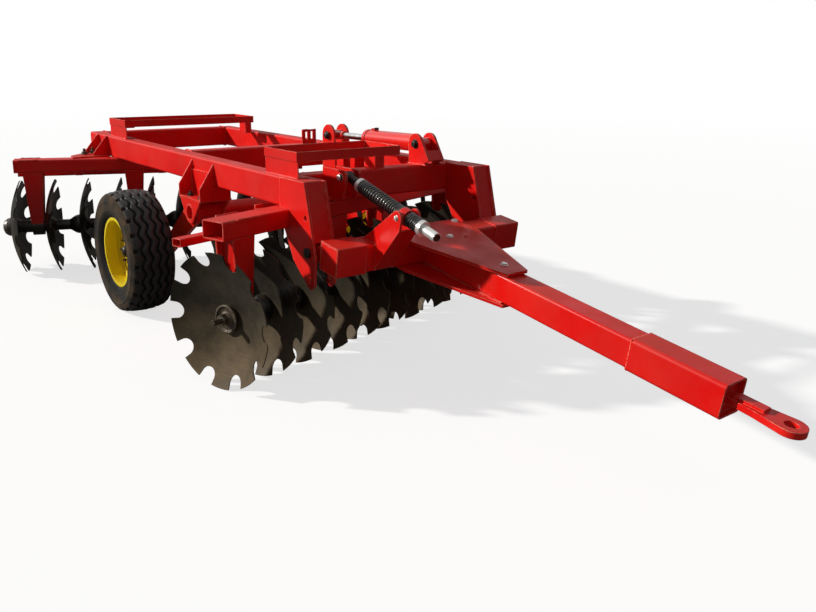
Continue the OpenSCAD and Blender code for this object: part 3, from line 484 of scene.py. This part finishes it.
# Each piece of a fastener is a share of the head's radius and height, and stands on the one before it
radius, height = given["Radius"], given["Height"]
thin = scaled(hexes, height, 0.22)
washer = add(hexes, "GeometryNodeMeshCylinder", {"Vertices": 20, "Radius": given["Washer"], "Depth": thin}).outputs[0]
head = add(hexes, "GeometryNodeMeshCylinder", {"Vertices": 6, "Radius": radius, "Depth": height}).outputs[0]
cap = cone(hexes, 12, scaled(hexes, radius, 0.9), scaled(hexes, radius, 0.72), scaled(hexes, height, 0.12))
stud = cone(hexes, 14, scaled(hexes, radius, 0.54), scaled(hexes, radius, 0.47), given["Stud"])
shape = add(hexes, "GeometryNodeJoinGeometry")
for part, rise in ((washer, scaled(hexes, thin, 0.5)), (head, scaled(hexes, height, 0.62)),
                   (cap, scaled(hexes, height, 1.11)), (stud, scaled(hexes, height, 1.12))):
    hexes.links.new(stood(hexes, part, rise), shape.inputs[0])
facing = add(hexes, "GeometryNodeInputNamedAttribute", {"Name": "facing"}, data_type="FLOAT_VECTOR").outputs[0]
stand = add(hexes, "FunctionNodeAlignRotationToVector", {"Vector": facing}, axis="Z").outputs[0]
chance = add(hexes, "FunctionNodeRandomValue", {2: 0.0, 3: 1.05, "Seed": given["Seed"]}, data_type="FLOAT").outputs[1]
spun = add(hexes, "FunctionNodeAxisAngleToRotation", {"Axis": (0, 0, 1), "Angle": chance}).outputs[0]
posed = add(hexes, "FunctionNodeRotateRotation", {0: stand, 1: spun}, rotation_space="LOCAL").outputs[0]
placed = add(
    hexes, "GeometryNodeInstanceOnPoints",
    {"Points": given["Geometry"], "Instance": shape.outputs[0], "Rotation": posed},
)
finish_tree(hexes, placed.outputs[0], given["Material"], result)

UP, RIGHT, LEFT = (0, 0, 1), (0, -1, 0), (0, 1, 0)


def fasteners(name, body, places, material, slot, radius, height, washer, stud=0.0005, seed=1):
    """Hexagon heads or nuts at places, each a point and the way the head looks."""
    mesh = bpy.data.meshes.new(name)
    mesh.from_pydata([Vector(place) for place, look in places], [], [])
    looks = mesh.attributes.new("facing", "FLOAT_VECTOR", "POINT")
    for i, (place, look) in enumerate(places):
        looks.data[i].vector = look
    values = {"Radius": radius, "Height": height, "Washer": washer, "Stud": stud, "Seed": seed, "Material": material}
    grow(name, mesh, hexes, values, body)


def black_bolts(name, body, places, **sizes):
    """Fasteners in the castings' black."""
    fasteners(name, body, places, black, "black_castings", **sizes)


def zinc_bolts(name, body, places, **sizes):
    """Fasteners in bright zinc plate."""
    fasteners(name, body, places, zinc, "zinc_plate", **sizes)


cylinder_y = 0.350
base_pin = at(-0.270, cylinder_y, 1.070)
low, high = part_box("cylinder_clevis")
pins = [((base_pin.x, low.y, base_pin.z), RIGHT), ((base_pin.x, high.y, base_pin.z), LEFT)]
black_bolts("cylinder_pin_bolts", "frame", pins, radius=0.019, height=0.013, washer=0.026, seed=2)
rod_pin = at(-0.045, -0.310, 0.958)
pins = [((rod_pin.x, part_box("spring_rod_bracket")[0].y, rod_pin.z), RIGHT)]
zinc_bolts("rod_pin_head", "frame", pins, radius=0.0165, height=0.013, washer=0.0195, seed=3)
feet = [(at(x, side * 0.640, 0.735), UP) for x in (-1.210, -1.065) for side in (-1, 1)]
black_bolts("shaft_bracket_bolts", "frame", feet, radius=0.017, height=0.014, washer=0.022, stud=0.012, seed=31)

# ---------- hose rack rod ----------
# The rack that keeps the hoses off the frame has a round rod along its top. It is welded on at both
# ends and painted with the rack.
rod_inset, rod_drop = 0.005, 0.006
low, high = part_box("hose_rack")
top_rod = [((low.x + high.x) / 2, y, high.z - rod_drop) for y in (low.y + rod_inset, high.y - rod_inset)]
lay_beads("hose_rack_rod", [top_rod], "frame", radius=0.009, ripple=0.02, sides=8)

# ---------- gang beams, hangers, clamps and scraper bars ----------
# Each gang hangs under a square tube beam from four flat plates. The rear beam is tied to the main
# beams by gusseted clamps under big plain nuts. All but the nuts are painted red with the frame.
finish_nodes(
    red, "front_gang_beam", "rear_gang_beam", "front_hangers", "rear_hangers", "gang_clamps",
    "front_scraper_bar", "rear_scraper_bar",
)
pitch, disc_count = 0.227, 10
front_angle, rear_angle = 16.5, 20
front_end, rear_end = at(-0.076, -1.030, 0), at(-2.892, -1.191, 0)
hanger_gaps, hanger_half, gap_middle = (0, 3, 5, 8), 0.066, 0.075
gang_beam_half, gang_beam_low = 0.072, 0.808


def gang_place(gang):
    """From a gang's frame to the machine: X runs along it from the open side, Y is forward, Z up from the ground."""
    if gang == "front":
        turn, start, flip = math.radians(90 + front_angle), front_end, Matrix.Scale(-1, 4, (0, 1, 0))
    else:
        slant = math.radians(rear_angle)
        turn, flip = math.radians(-90 - rear_angle), Matrix.Identity(4)
        start = rear_end + (disc_count - 1) * pitch * Vector((math.sin(slant), math.cos(slant), 0))
    return Matrix.Translation(start) @ Matrix.Rotation(turn, 4, "Z") @ flip


for gang in ("front", "rear"):
    place = gang_place(gang)
    welds = []
    for gap in hanger_gaps:
        x = (gap + 1) * pitch - gap_middle
        for y in (gang_beam_half, -gang_beam_half):
            welds.append([place @ Vector((end, y, gang_beam_low)) for end in (x - hanger_half, x + hanger_half)])
    lay_beads(gang + "_hanger_welds", welds, "frame", radius=0.006)

place = gang_place("front")
clips = [(place @ Vector((i * pitch - 0.018, -0.229, 0.700)), UP) for i in range(1, disc_count)]
zinc_bolts("scraper_bolts", "frame", clips, radius=0.012, height=0.010, washer=0.016, stud=0.012, seed=5)

worn_steel_lit_edges, tree, spot = new_material("worn_steel_lit_edges")
edge_mark, normal = marked_edges(tree, radius=0.004, patches=12.0)
grain = noise(tree, spot, 90.0, 4.0)
colour = mix_colour(tree, grain, (0.010, 0.008, 0.006, 1), (0.045, 0.034, 0.022, 1))
colour = mix_colour(tree, dusted(tree, amount=0.9, patches=16.0), colour, (0.200, 0.135, 0.070, 1))
# Pale brown edges: partly worn bare metal, partly a painted highlight
colour = mix_colour(tree, edge_mark, colour, (0.42, 0.33, 0.21, 1))
rough = ramp(tree, grain, start=0.28, end=0.55)
finish_material(tree, colour, rough, normal, height=grain, bump=0.2, distance=0.0006)
clamp_nuts = [(at(x, y, 0.820), UP) for x, y in ((-2.871, -0.735), (-2.935, -0.655), (-2.200, 0.705))]
fasteners(
    "clamp_nuts", "frame", clamp_nuts, worn_steel_lit_edges, "zinc_plate",
    radius=0.021, height=0.018, washer=0.028, stud=0.024, seed=23,
)

# ---------- discs ----------
# Twenty notched discs of heat treated spring steel, dished, hollow side to the right at the front
# and to the left at the back. They are bare and oiled, rolled with faint rings, and dusty brown; each
# gang is paler brown low down, with dust and with painted light. The rear gang is painted darker as shade.
# Between these heights about the axle the discs turn paler brown downwards: dust and painted light
axle_height, paling_above, palest_below = 0.330, 0.07, 0.30


def gang_radius(tree, spot, centre, axis):
    """How far a spot is from a gang's axle, and along it."""
    offset = add(tree, "ShaderNodeVectorMath", {0: spot, 1: centre}, operation="SUBTRACT").outputs[0]
    along = add(tree, "ShaderNodeVectorMath", {0: offset, 1: axis}, operation="DOT_PRODUCT").outputs["Value"]
    back = add(tree, "ShaderNodeVectorMath", {0: axis, "Scale": along}, operation="SCALE").outputs[0]
    across = add(tree, "ShaderNodeVectorMath", {0: offset, 1: back}, operation="SUBTRACT").outputs[0]
    return add(tree, "ShaderNodeVectorMath", {0: across}, operation="LENGTH").outputs["Value"], along


def disc_steel(gang, dark, pale, dirt):
    """Dark oiled steel with turned rings round one gang's axle, scratches, and paler brown low down, from dust and
    painted light.
    """
    made, tree, spot = new_material(gang + "_disc_steel")
    place = gang_place(gang)
    centre = tuple(place @ Vector((0, 0, axle_height)))
    axis = tuple((place.to_3x3() @ Vector((1, 0, 0))).normalized())
    radius, along = gang_radius(tree, spot, centre, axis)
    edge_mark, normal = marked_edges(tree, radius=0.002, patches=20.0)
    haze = ramp(tree, noise(tree, spot, 5.5, 9.0, 0.68), 0.36, 0.66)
    rings = add(tree, "ShaderNodeCombineXYZ", {"X": radius, "Y": scaled(tree, along, 0.2)}).outputs[0]
    grooves = noise(tree, rings, 130.0, 3.0)
    brushed = add(
        tree, "ShaderNodeMapping",
        {"Vector": spot, "Rotation": (0.6, 0.2, 0.0), "Scale": (3.0, 3.0, 42.0)},
    ).outputs[0]
    scratched = ramp(tree, noise(tree, brushed, 3.0, 5.0), 0.52, 0.72, end=0.5)
    above_floor = add(tree, "ShaderNodeSeparateXYZ", {0: spot}).outputs[2]
    # Paler brown towards the bottom of each gang: partly dust, partly painted light
    low_dust_and_light = ramp(tree, above_floor, centre[2] + paling_above, centre[2] - palest_below)
    dusty = clamped(tree, "MULTIPLY", calc(tree, "MULTIPLY_ADD", haze, 0.60, 0.38), low_dust_and_light)
    colour = mix_colour(tree, haze, dark, pale)
    colour = mix_colour(tree, scaled(tree, grooves, 0.4), colour, pale)
    colour = mix_colour(tree, dusty, colour, dirt)
    colour = mix_colour(tree, scratched, colour, pale)
    colour = mix_colour(tree, edge_mark, colour, dirt)
    rough = ramp(tree, dusty, start=0.34, end=0.70)
    finish_material(
        tree, colour, rough, normal, height=grooves, bump=0.25, distance=0.0006, specular_ior_level=0.14,
    )
    return made


finish_nodes(
    disc_steel("front", dark=(0.012, 0.0115, 0.009, 1), pale=(0.052, 0.044, 0.030, 1), dirt=(0.190, 0.128, 0.066, 1)),
    "front_discs",
)
# The rear gang's colours are darker copies of the front's: painted shade on the gang's shaded side
finish_nodes(
    disc_steel("rear", dark=(0.006, 0.006, 0.0055, 1), pale=(0.020, 0.018, 0.013, 1), dirt=(0.050, 0.038, 0.022, 1)),
    "rear_discs",
)

# ---------- spools, bearings, axles and scrapers ----------
# Cast spools space the discs on a square axle, with four bearing housings to a gang. They are cast iron,
# dipped black, as the scraper arms are. The axle's end washer and large nut are worn bare and dusty, with
# pale edges that are partly worn metal and partly a painted highlight.
finish_nodes(black, "front_spools", "rear_spools", "front_bearings", "rear_bearings", "front_scrapers")
finish_nodes(worn_steel_lit_edges, "front_gang_axle", "rear_gang_axle")

# ---------- rockshaft and wheel arms ----------
# A tube across the frame turns in two brackets, with a pair of levers for the cylinder and an arm
# for each wheel.
finish_nodes(red, "rockshaft", "wheel_arms")
lever_pin, lever_half = at(-1.160, cylinder_y, 1.050), 0.069
pins = [((lever_pin.x, cylinder_y + side * lever_half, lever_pin.z), (0, side, 0)) for side in (-1, 1)]
black_bolts("lever_pin_bolts", "rockshaft", pins, radius=0.019, height=0.013, washer=0.026, seed=7)

# ---------- tyres ----------
# Implement tyres with five round ribs parted by waving grooves, and blocks cut in their shoulders.
# The rubber is moulded, grey on the crown with dust and with painted light on the shaded tread, and brown
# with dust on the walls. Its grooves and bead seat are darkened with painted shade.
tyre_radius, tread_half, crown_drop, groove_deep = 0.372, 0.112, 0.0145, 0.013
waves, steps_each, wave_sway = 24, 12, 0.0095
notch_deep, outer_notch, inner_notch = 0.0105, (2, 3, 4), (8, 9, 10)


def hub_place(side):
    """The middle of a wheel: side is -1 on the right and 1 on the left."""
    return at(-1.545, 0.885 * side, tyre_radius)


def turned(name, rows, joined, sharp):
    """A mesh from one row of (radius, Y) for each step round the Y axis. Joined rows close on themselves."""
    mesh = bpy.data.meshes.new(name)
    shape = bmesh.new()
    rings = []
    for i, row in enumerate(rows):
        angle = 2 * math.pi * i / len(rows)
        rings.append([shape.verts.new((r * math.sin(angle), y, r * math.cos(angle))) for r, y in row])
    for i, here in enumerate(rings):
        after = rings[(i + 1) % len(rings)]
        for j in range(len(here) if joined else len(here) - 1):
            k = (j + 1) % len(here)
            shape.faces.new((here[j], here[k], after[k], after[j]))
    bmesh.ops.remove_doubles(shape, verts=shape.verts, dist=0.00001)
    bmesh.ops.recalc_face_normals(shape, faces=shape.faces)
    for face in shape.faces:
        face.smooth = True
    shape.to_mesh(mesh)
    shape.free()
    mesh.set_sharp_from_angle(angle=math.radians(sharp))
    return mesh


def fix(name, mesh, place, material, body):
    """Puts a turned mesh in its place in the scene, as a piece that rides on a body."""
    mesh.transform(place)
    mesh.materials.append(material)
    piece = bpy.data.objects.new(name, mesh)
    bpy.context.collection.objects.link(piece)
    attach(piece, body)
    return piece


def tyre_columns():
    """Half the tyre's section, bead to crown: radius, half width, how far it waves, and if it is notched."""
    wall = [(0.199, 0.097), (0.215, 0.1045), (0.222, 0.112), (0.236, 0.121), (0.252, 0.1275), (0.256, 0.1300)]
    wall += [(0.260, 0.1280), (0.272, 0.1310), (0.290, 0.132), (0.306, 0.1315), (0.309, 0.1340), (0.314, 0.1340)]
    wall += [(0.317, 0.1315), (0.326, 0.1300), (0.338, 0.1260), (0.347, 0.1215)]
    columns = [(r, half, 0.0, False) for r, half in wall]
    columns += [(0.3540, 0.1165, 0.0, True), (0.3580, 0.1100, 0.0, True), (0.3600, 0.1020, 0.0, True)]
    groove = ((0.115, 0.0), (0.088, 0.1), (0.045, 0.9), (0.0, 1.0), (-0.045, 0.9), (-0.088, 0.1), (-0.115, 0.0))
    ribs = [(0.62 + share, depth) for share, depth in groove] + [(0.4175, 0.0)]
    ribs += [(0.215 + share, depth) for share, depth in groove]
    for share, depth in ribs:
        radius = tyre_radius - crown_drop * share * share - groove_deep * depth
        columns.append((radius, tread_half * share, 1.0, False))
    return columns


def tyre_rows(side):
    """One row of the tyre's section for each step round it: side is the way its outer face looks."""
    half = tyre_columns()
    full = half + [(tyre_radius, 0.0, 1.0, False)] + [(r, -y, follow, cut) for r, y, follow, cut in reversed(half)]
    rows = []
    for i in range(waves * steps_each):
        step = i % steps_each
        sway = wave_sway * math.sin(2 * math.pi * step / steps_each)
        row = []
        for radius, y, follow, cut in full:
            notched = cut and step in (outer_notch if y > 0 else inner_notch)
            row.append((radius - (notch_deep if notched else 0.0), side * (y + sway * follow)))
        rows.append(row)
    return rows


def rubber_finish(name, hub):
    """Tyre rubber round a hub: grey ribs lifted partly with painted light, grooves and bead seat dark with painted
    shade, and walls brown with dust in fine rings.
    """
    made, tree, spot = new_material(name)
    from_hub = add(tree, "ShaderNodeVectorMath", {0: spot, 1: tuple(hub)}, operation="SUBTRACT").outputs[0]
    parts = add(tree, "ShaderNodeSeparateXYZ", {0: from_hub}).outputs
    flat = add(tree, "ShaderNodeCombineXYZ", {"X": parts[0], "Z": parts[2]}).outputs[0]
    radius = add(tree, "ShaderNodeVectorMath", {0: flat}, operation="LENGTH").outputs["Value"]
    aside = calc(tree, "ABSOLUTE", parts[1])
    drop = scaled(tree, calc(tree, "POWER", scaled(tree, aside, 1 / tread_half), 2.0), crown_drop)
    depth = calc(tree, "SUBTRACT", calc(tree, "SUBTRACT", tyre_radius, drop), radius)
    deep = ramp(tree, depth, 0.001, 0.009)
    tread = ramp(tree, aside, 0.120, 0.108)
    haze = ramp(tree, noise(tree, spot, 7.0, 7.0, 0.65), 0.42, 0.68)
    rings = noise(tree, add(tree, "ShaderNodeCombineXYZ", {"X": radius}).outputs[0], 150.0)
    fine = noise(tree, spot, 520.0)
    outer = ramp(tree, radius, 0.222, 0.300, end=0.85)
    seat = ramp(tree, radius, 0.252, 0.232)
    wall = mix_colour(tree, rings, (0.007, 0.0065, 0.006, 1), (0.017, 0.0145, 0.0115, 1))
    wall = mix_colour(tree, clamped(tree, "MULTIPLY", haze, outer), wall, (0.120, 0.074, 0.038, 1))
    # Painted shade on the bead seat next to the rim
    wall = mix_colour(tree, seat, wall, (0.003, 0.003, 0.003, 1))
    # Ribs paler grey than the walls: dust on the crown, and painted light lifting the shaded tread
    ribbed = mix_colour(tree, fine, (0.014, 0.0145, 0.015, 1), (0.028, 0.0285, 0.028, 1))
    ribbed = mix_colour(tree, scaled(tree, haze, 0.35), ribbed, (0.060, 0.050, 0.036, 1))
    # Painted shade in the grooves: they are darkened below the ribs
    ribbed = mix_colour(tree, deep, ribbed, (0.0025, 0.0025, 0.0025, 1))
    colour = mix_colour(tree, tread, wall, ribbed)
    rough = clamped(tree, "SUBTRACT", ramp(tree, haze, start=0.62, end=0.80), scaled(tree, tread, 0.12))
    rough = clamped(tree, "ADD", rough, scaled(tree, clamped(tree, "MAXIMUM", seat, deep), 0.3))
    height = calc(tree, "MULTIPLY_ADD", rings, 0.7, fine)
    finish_material(tree, colour, rough, None, height=height, bump=0.35, distance=0.0008, specular_ior_level=0.26)
    return made


for name, side in (("right", -1), ("left", 1)):
    hub = hub_place(side)
    mesh = turned(name + "_tyre_tread", tyre_rows(side), joined=True, sharp=48)
    rubber = rubber_finish(name + "_tyre_rubber", hub)
    tyre = fix(name + "_tyre_tread", mesh, Matrix.Translation(hub), rubber, name + "_wheel")
    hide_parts(name + "_tyre")

# ---------- wheels ----------
# Pressed steel rims in yellow enamel, with the disc set deep inside, six wheel nuts on studs and a
# spun grease cap, both black.
yellow = enamel(
    "yellow_enamel",
    bright=(0.88, 0.72, 0.010, 1), deep=(0.80, 0.58, 0.006, 1), dirt=(0.36, 0.24, 0.09, 1),
    edge_tint=(0.30, 0.20, 0.05, 1), dusty=0.35,
)
finish_nodes(yellow, "right_wheel", "left_wheel")
nut_count, nut_circle, nut_seat = 6, 0.072, 0.038
cap_outline = [(0.0, 0.068), (0.014, 0.068), (0.024, 0.065), (0.030, 0.058), (0.032, 0.052), (0.038, 0.050)]
cap_outline += [(0.038, 0.046), (0.0, 0.046)]
for name, side in (("right", -1), ("left", 1)):
    hub = hub_place(side)
    nuts = []
    for i in range(nut_count):
        angle = 2 * math.pi * i / nut_count
        on_circle = Vector((nut_circle * math.cos(angle), side * nut_seat, nut_circle * math.sin(angle)))
        nuts.append((hub + on_circle, (0, side, 0)))
    black_bolts(
        name + "_wheel_nuts", name + "_wheel", nuts, radius=0.0118, height=0.005, washer=0.0118, stud=0.014, seed=11,
    )
    mesh = turned(name + "_grease_cap", [[(r, side * y) for r, y in cap_outline]] * 32, joined=False, sharp=35)
    fix(name + "_grease_cap", mesh, Matrix.Translation(hub), black, name + "_wheel")

# ---------- lift cylinder ----------
# A welded hydraulic cylinder in a cleaner, glossier coat of the red, with a hard chromed rod, a screwed
# eye and a plugged port.
glossy = enamel(
    "cylinder_enamel",
    bright=(0.90, 0.010, 0.006, 1), deep=(0.70, 0.006, 0.005, 1), dirt=(0.50, 0.11, 0.07, 1),
    edge_tint=(0.24, 0.035, 0.025, 1), dusty=0.25, coat=1.0, coat_roughness=0.12,
)
finish_nodes(glossy, "lift_cylinder", "lift_cylinder_eye")
chrome, tree, spot = new_material("chrome_rod")
tone = noise(tree, spot, 30.0, 4.0)
colour = mix_colour(tree, tone, (0.62, 0.61, 0.59, 1), (0.80, 0.80, 0.79, 1))
finish_material(tree, colour, ramp(tree, tone, start=0.10, end=0.24), None, metallic=1.0)
finish_nodes(chrome, "lift_cylinder_rod")
port = [(at(-0.712, cylinder_y, 1.118), UP)]
black_bolts("cylinder_port_plug", "lift_cylinder", port, radius=0.013, height=0.007, washer=0.014, seed=13)

# ---------- hitch beam and drawbar ----------
# A square tube beam between the tow brackets, two tapered plates, and the drawbar tube between
# them with its sleeve and forged eye. Bright bolts clamp the plates. The tow pins are black.
finish_nodes(
    red, "hitch_beam", "upper_hitch_plate", "lower_hitch_plate", "drawbar_tube", "drawbar_sleeve", "drawbar_eye",
    "trunnion_ears", "trunnion",
)
finish_nodes(black, "hinge_pins")
trunnion_place, ear_half = at(0.423, rod_pin.y, 0.830), 0.058
pins = [(trunnion_place + Vector((0, side * ear_half, 0)), (0, side, 0)) for side in (-1, 1)]
zinc_bolts("trunnion_pin_heads", "drawbar", pins, radius=0.010, height=0.007, washer=0.014, seed=29)
slope = math.radians(8)
bar_up = Vector((math.sin(slope), 0, math.cos(slope)))
bar_on = Vector((math.cos(slope), 0, -math.sin(slope)))


def on_bar(x, y, z):
    """A place in the drawbar's own sloping frame, which starts at the tow pins."""
    return at(0.043, y, 0.626) + bar_on * x + bar_up * z


plate_face, plates_apart = 0.097, 0.165
bolts = [(0.100, -0.180), (0.100, 0.225), (0.288, 0.030), (0.695, 0.008)]
plate_bolts = [(on_bar(x, y, plate_face), bar_up) for x, y in bolts]
zinc_bolts("hitch_plate_bolts", "drawbar", plate_bolts, radius=0.0160, height=0.008, washer=0.0185, seed=17)
plate_nuts = [(place - bar_up * plates_apart, -bar_up) for place, look in plate_bolts]
zinc_bolts("hitch_plate_nuts", "drawbar", plate_nuts, radius=0.0150, height=0.012, washer=0.019, stud=0.014, seed=19)

tube_half, tube_middle, sleeve_start = 0.0625, 0.0145, 1.472
beam_back, beam_front, beam_under, beam_over = 0.080, 0.215, -0.053, 0.082
bracket_inside, ear_inside, ear_back, ear_low = 0.419, 0.055, 0.100, -0.046
corners = ((-1, -1), (1, -1), (1, 1), (-1, 1), (-1, -1))
welds = [[on_bar(sleeve_start, y * tube_half, tube_middle + z * tube_half) for y, z in corners]]
for y in (-bracket_inside, bracket_inside):
    loop = [(beam_back, beam_under), (beam_front, beam_under), (beam_front, beam_over), (beam_back, beam_over)]
    welds.append([on_bar(x, y, z) for x, z in loop + loop[:1]])
for y in (rod_pin.y - ear_inside, rod_pin.y + ear_inside):
    foot = ((ear_back, beam_over), (beam_front, beam_over), (beam_front + 0.002, ear_low))
    welds.append([on_bar(x, y, z) for x, z in foot])
lay_beads("drawbar_welds", welds, "drawbar", radius=0.0065)

# ---------- levelling rod ----------
# A screwed rod with a long and a short coil spring, one on each side of the trunnion. The springs
# are black, the rod and its nuts are bright zinc, and the forged eye at its top is black.
rod_on = (trunnion_place - rod_pin).normalized()
rod_reach = (trunnion_place - rod_pin).length
rod_place = Matrix.Translation(rod_pin) @ rod_on.to_track_quat("X", "Z").to_matrix().to_4x4()

coil, given, result = new_tree(
    "coil_spring",
    [("Turns", FLOAT, 10.0), ("Radius", FLOAT, 0.024), ("Length", FLOAT, 0.3), ("Wire", FLOAT, 0.004),
     ("Closed ends", FLOAT, 0.7), ("Points", INT, 480), ("Sides", INT, 8)],
)
line = add(coil, "GeometryNodeMeshLine", {"Count": given["Points"], "Offset": (0.0001, 0, 0)}).outputs[0]
last = calc(coil, "SUBTRACT", given["Points"], 1.0)
share = calc(coil, "DIVIDE", add(coil, "GeometryNodeInputIndex").outputs[0], last)
eased = add(coil, "ShaderNodeMapRange", {"Value": share}, interpolation_type="SMOOTHSTEP").outputs[0]
mixed = add(coil, "ShaderNodeMix", {0: given["Closed ends"], 2: share, 3: eased}, data_type="FLOAT").outputs[0]
angle = calc(coil, "MULTIPLY", calc(coil, "MULTIPLY", share, given["Turns"]), 2 * math.pi)
x = calc(coil, "MULTIPLY", mixed, given["Length"])
y = calc(coil, "MULTIPLY", calc(coil, "SINE", angle), given["Radius"])
z = calc(coil, "MULTIPLY", calc(coil, "COSINE", angle), given["Radius"])
wound = add(coil, "ShaderNodeCombineXYZ", {"X": x, "Y": y, "Z": z}).outputs[0]
path = add(coil, "GeometryNodeSetPosition", {"Geometry": line, "Position": wound}).outputs[0]
path = add(coil, "GeometryNodeMeshToCurve", {"Mesh": path}).outputs[0]
ring = add(coil, "GeometryNodeCurvePrimitiveCircle", {"Resolution": given["Sides"], "Radius": given["Wire"]})
swept = add(coil, "GeometryNodeCurveToMesh", {"Curve": path, "Profile Curve": ring.outputs[0], "Fill Caps": True})
smooth = add(coil, "GeometryNodeSetShadeSmooth", {"Geometry": swept.outputs[0]})
finish_tree(coil, smooth.outputs[0], given["Material"], result)


def wind(name, start, length, turns, radius, wire, material, closed=0.7, each=20, sides=8):
    """A coil round the levelling rod from a start along it, with so many points each turn."""
    values = {"Turns": turns, "Radius": radius, "Length": length - 2 * wire, "Wire": wire, "Closed ends": closed,
              "Points": int(turns * each), "Sides": sides, "Material": material}
    made = grow(name, bpy.data.meshes.new(name), coil, values, "levelling_rod")
    made.data.transform(rod_place @ Matrix.Translation((start + wire, 0, 0)))
    return made


spring_paint, tree, spot = new_material("spring_black")
grain = noise(tree, spot, 300.0)
colour = mix_colour(
    tree, dusted(tree, amount=0.4, patches=12.0), (0.012, 0.012, 0.013, 1), (0.07, 0.055, 0.04, 1),
)
rough = ramp(tree, grain, start=0.28, end=0.42)
finish_material(tree, colour, rough, None, height=grain, bump=0.1, distance=0.0004, coat_weight=0.3)

collar_end, trunnion_half, short_length, coil_radius, coil_wire = 0.130, 0.022, 0.088, 0.031, 0.005
short_start = rod_reach + trunnion_half
long_length = rod_reach - trunnion_half - collar_end
long_spring = wind(
    "long_coil", start=collar_end, length=long_length, turns=21, radius=coil_radius, wire=coil_wire,
    material=spring_paint,
)
short_spring = wind(
    "short_coil", start=short_start, length=short_length, turns=7, radius=coil_radius, wire=coil_wire,
    material=spring_paint,
)
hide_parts("long_spring")
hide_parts("short_spring")
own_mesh(long_spring)
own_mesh(short_spring)
finish_nodes(zinc, "levelling_rod")
finish_nodes(black, "rod_eye")
wind(
    "rod_thread", start=0.084, length=0.021, turns=7, radius=0.0180, wire=0.0013, material=zinc,
    closed=0.0, each=16, sides=5,
)

rod_end = 0.710
plug_outline = [(0.0, 0.001), (0.0120, 0.001), (0.0135, 0.004), (0.0175, 0.004), (0.0185, 0.0), (0.0, 0.0)]
plug_place = rod_place @ Matrix.Translation((rod_end, 0, 0)) @ Matrix.Rotation(math.radians(-90), 4, "Z")
plug = turned("rod_end_plug", [plug_outline] * 28, joined=False, sharp=35)
fix("rod_end_plug", plug, plug_place, black, "levelling_rod")
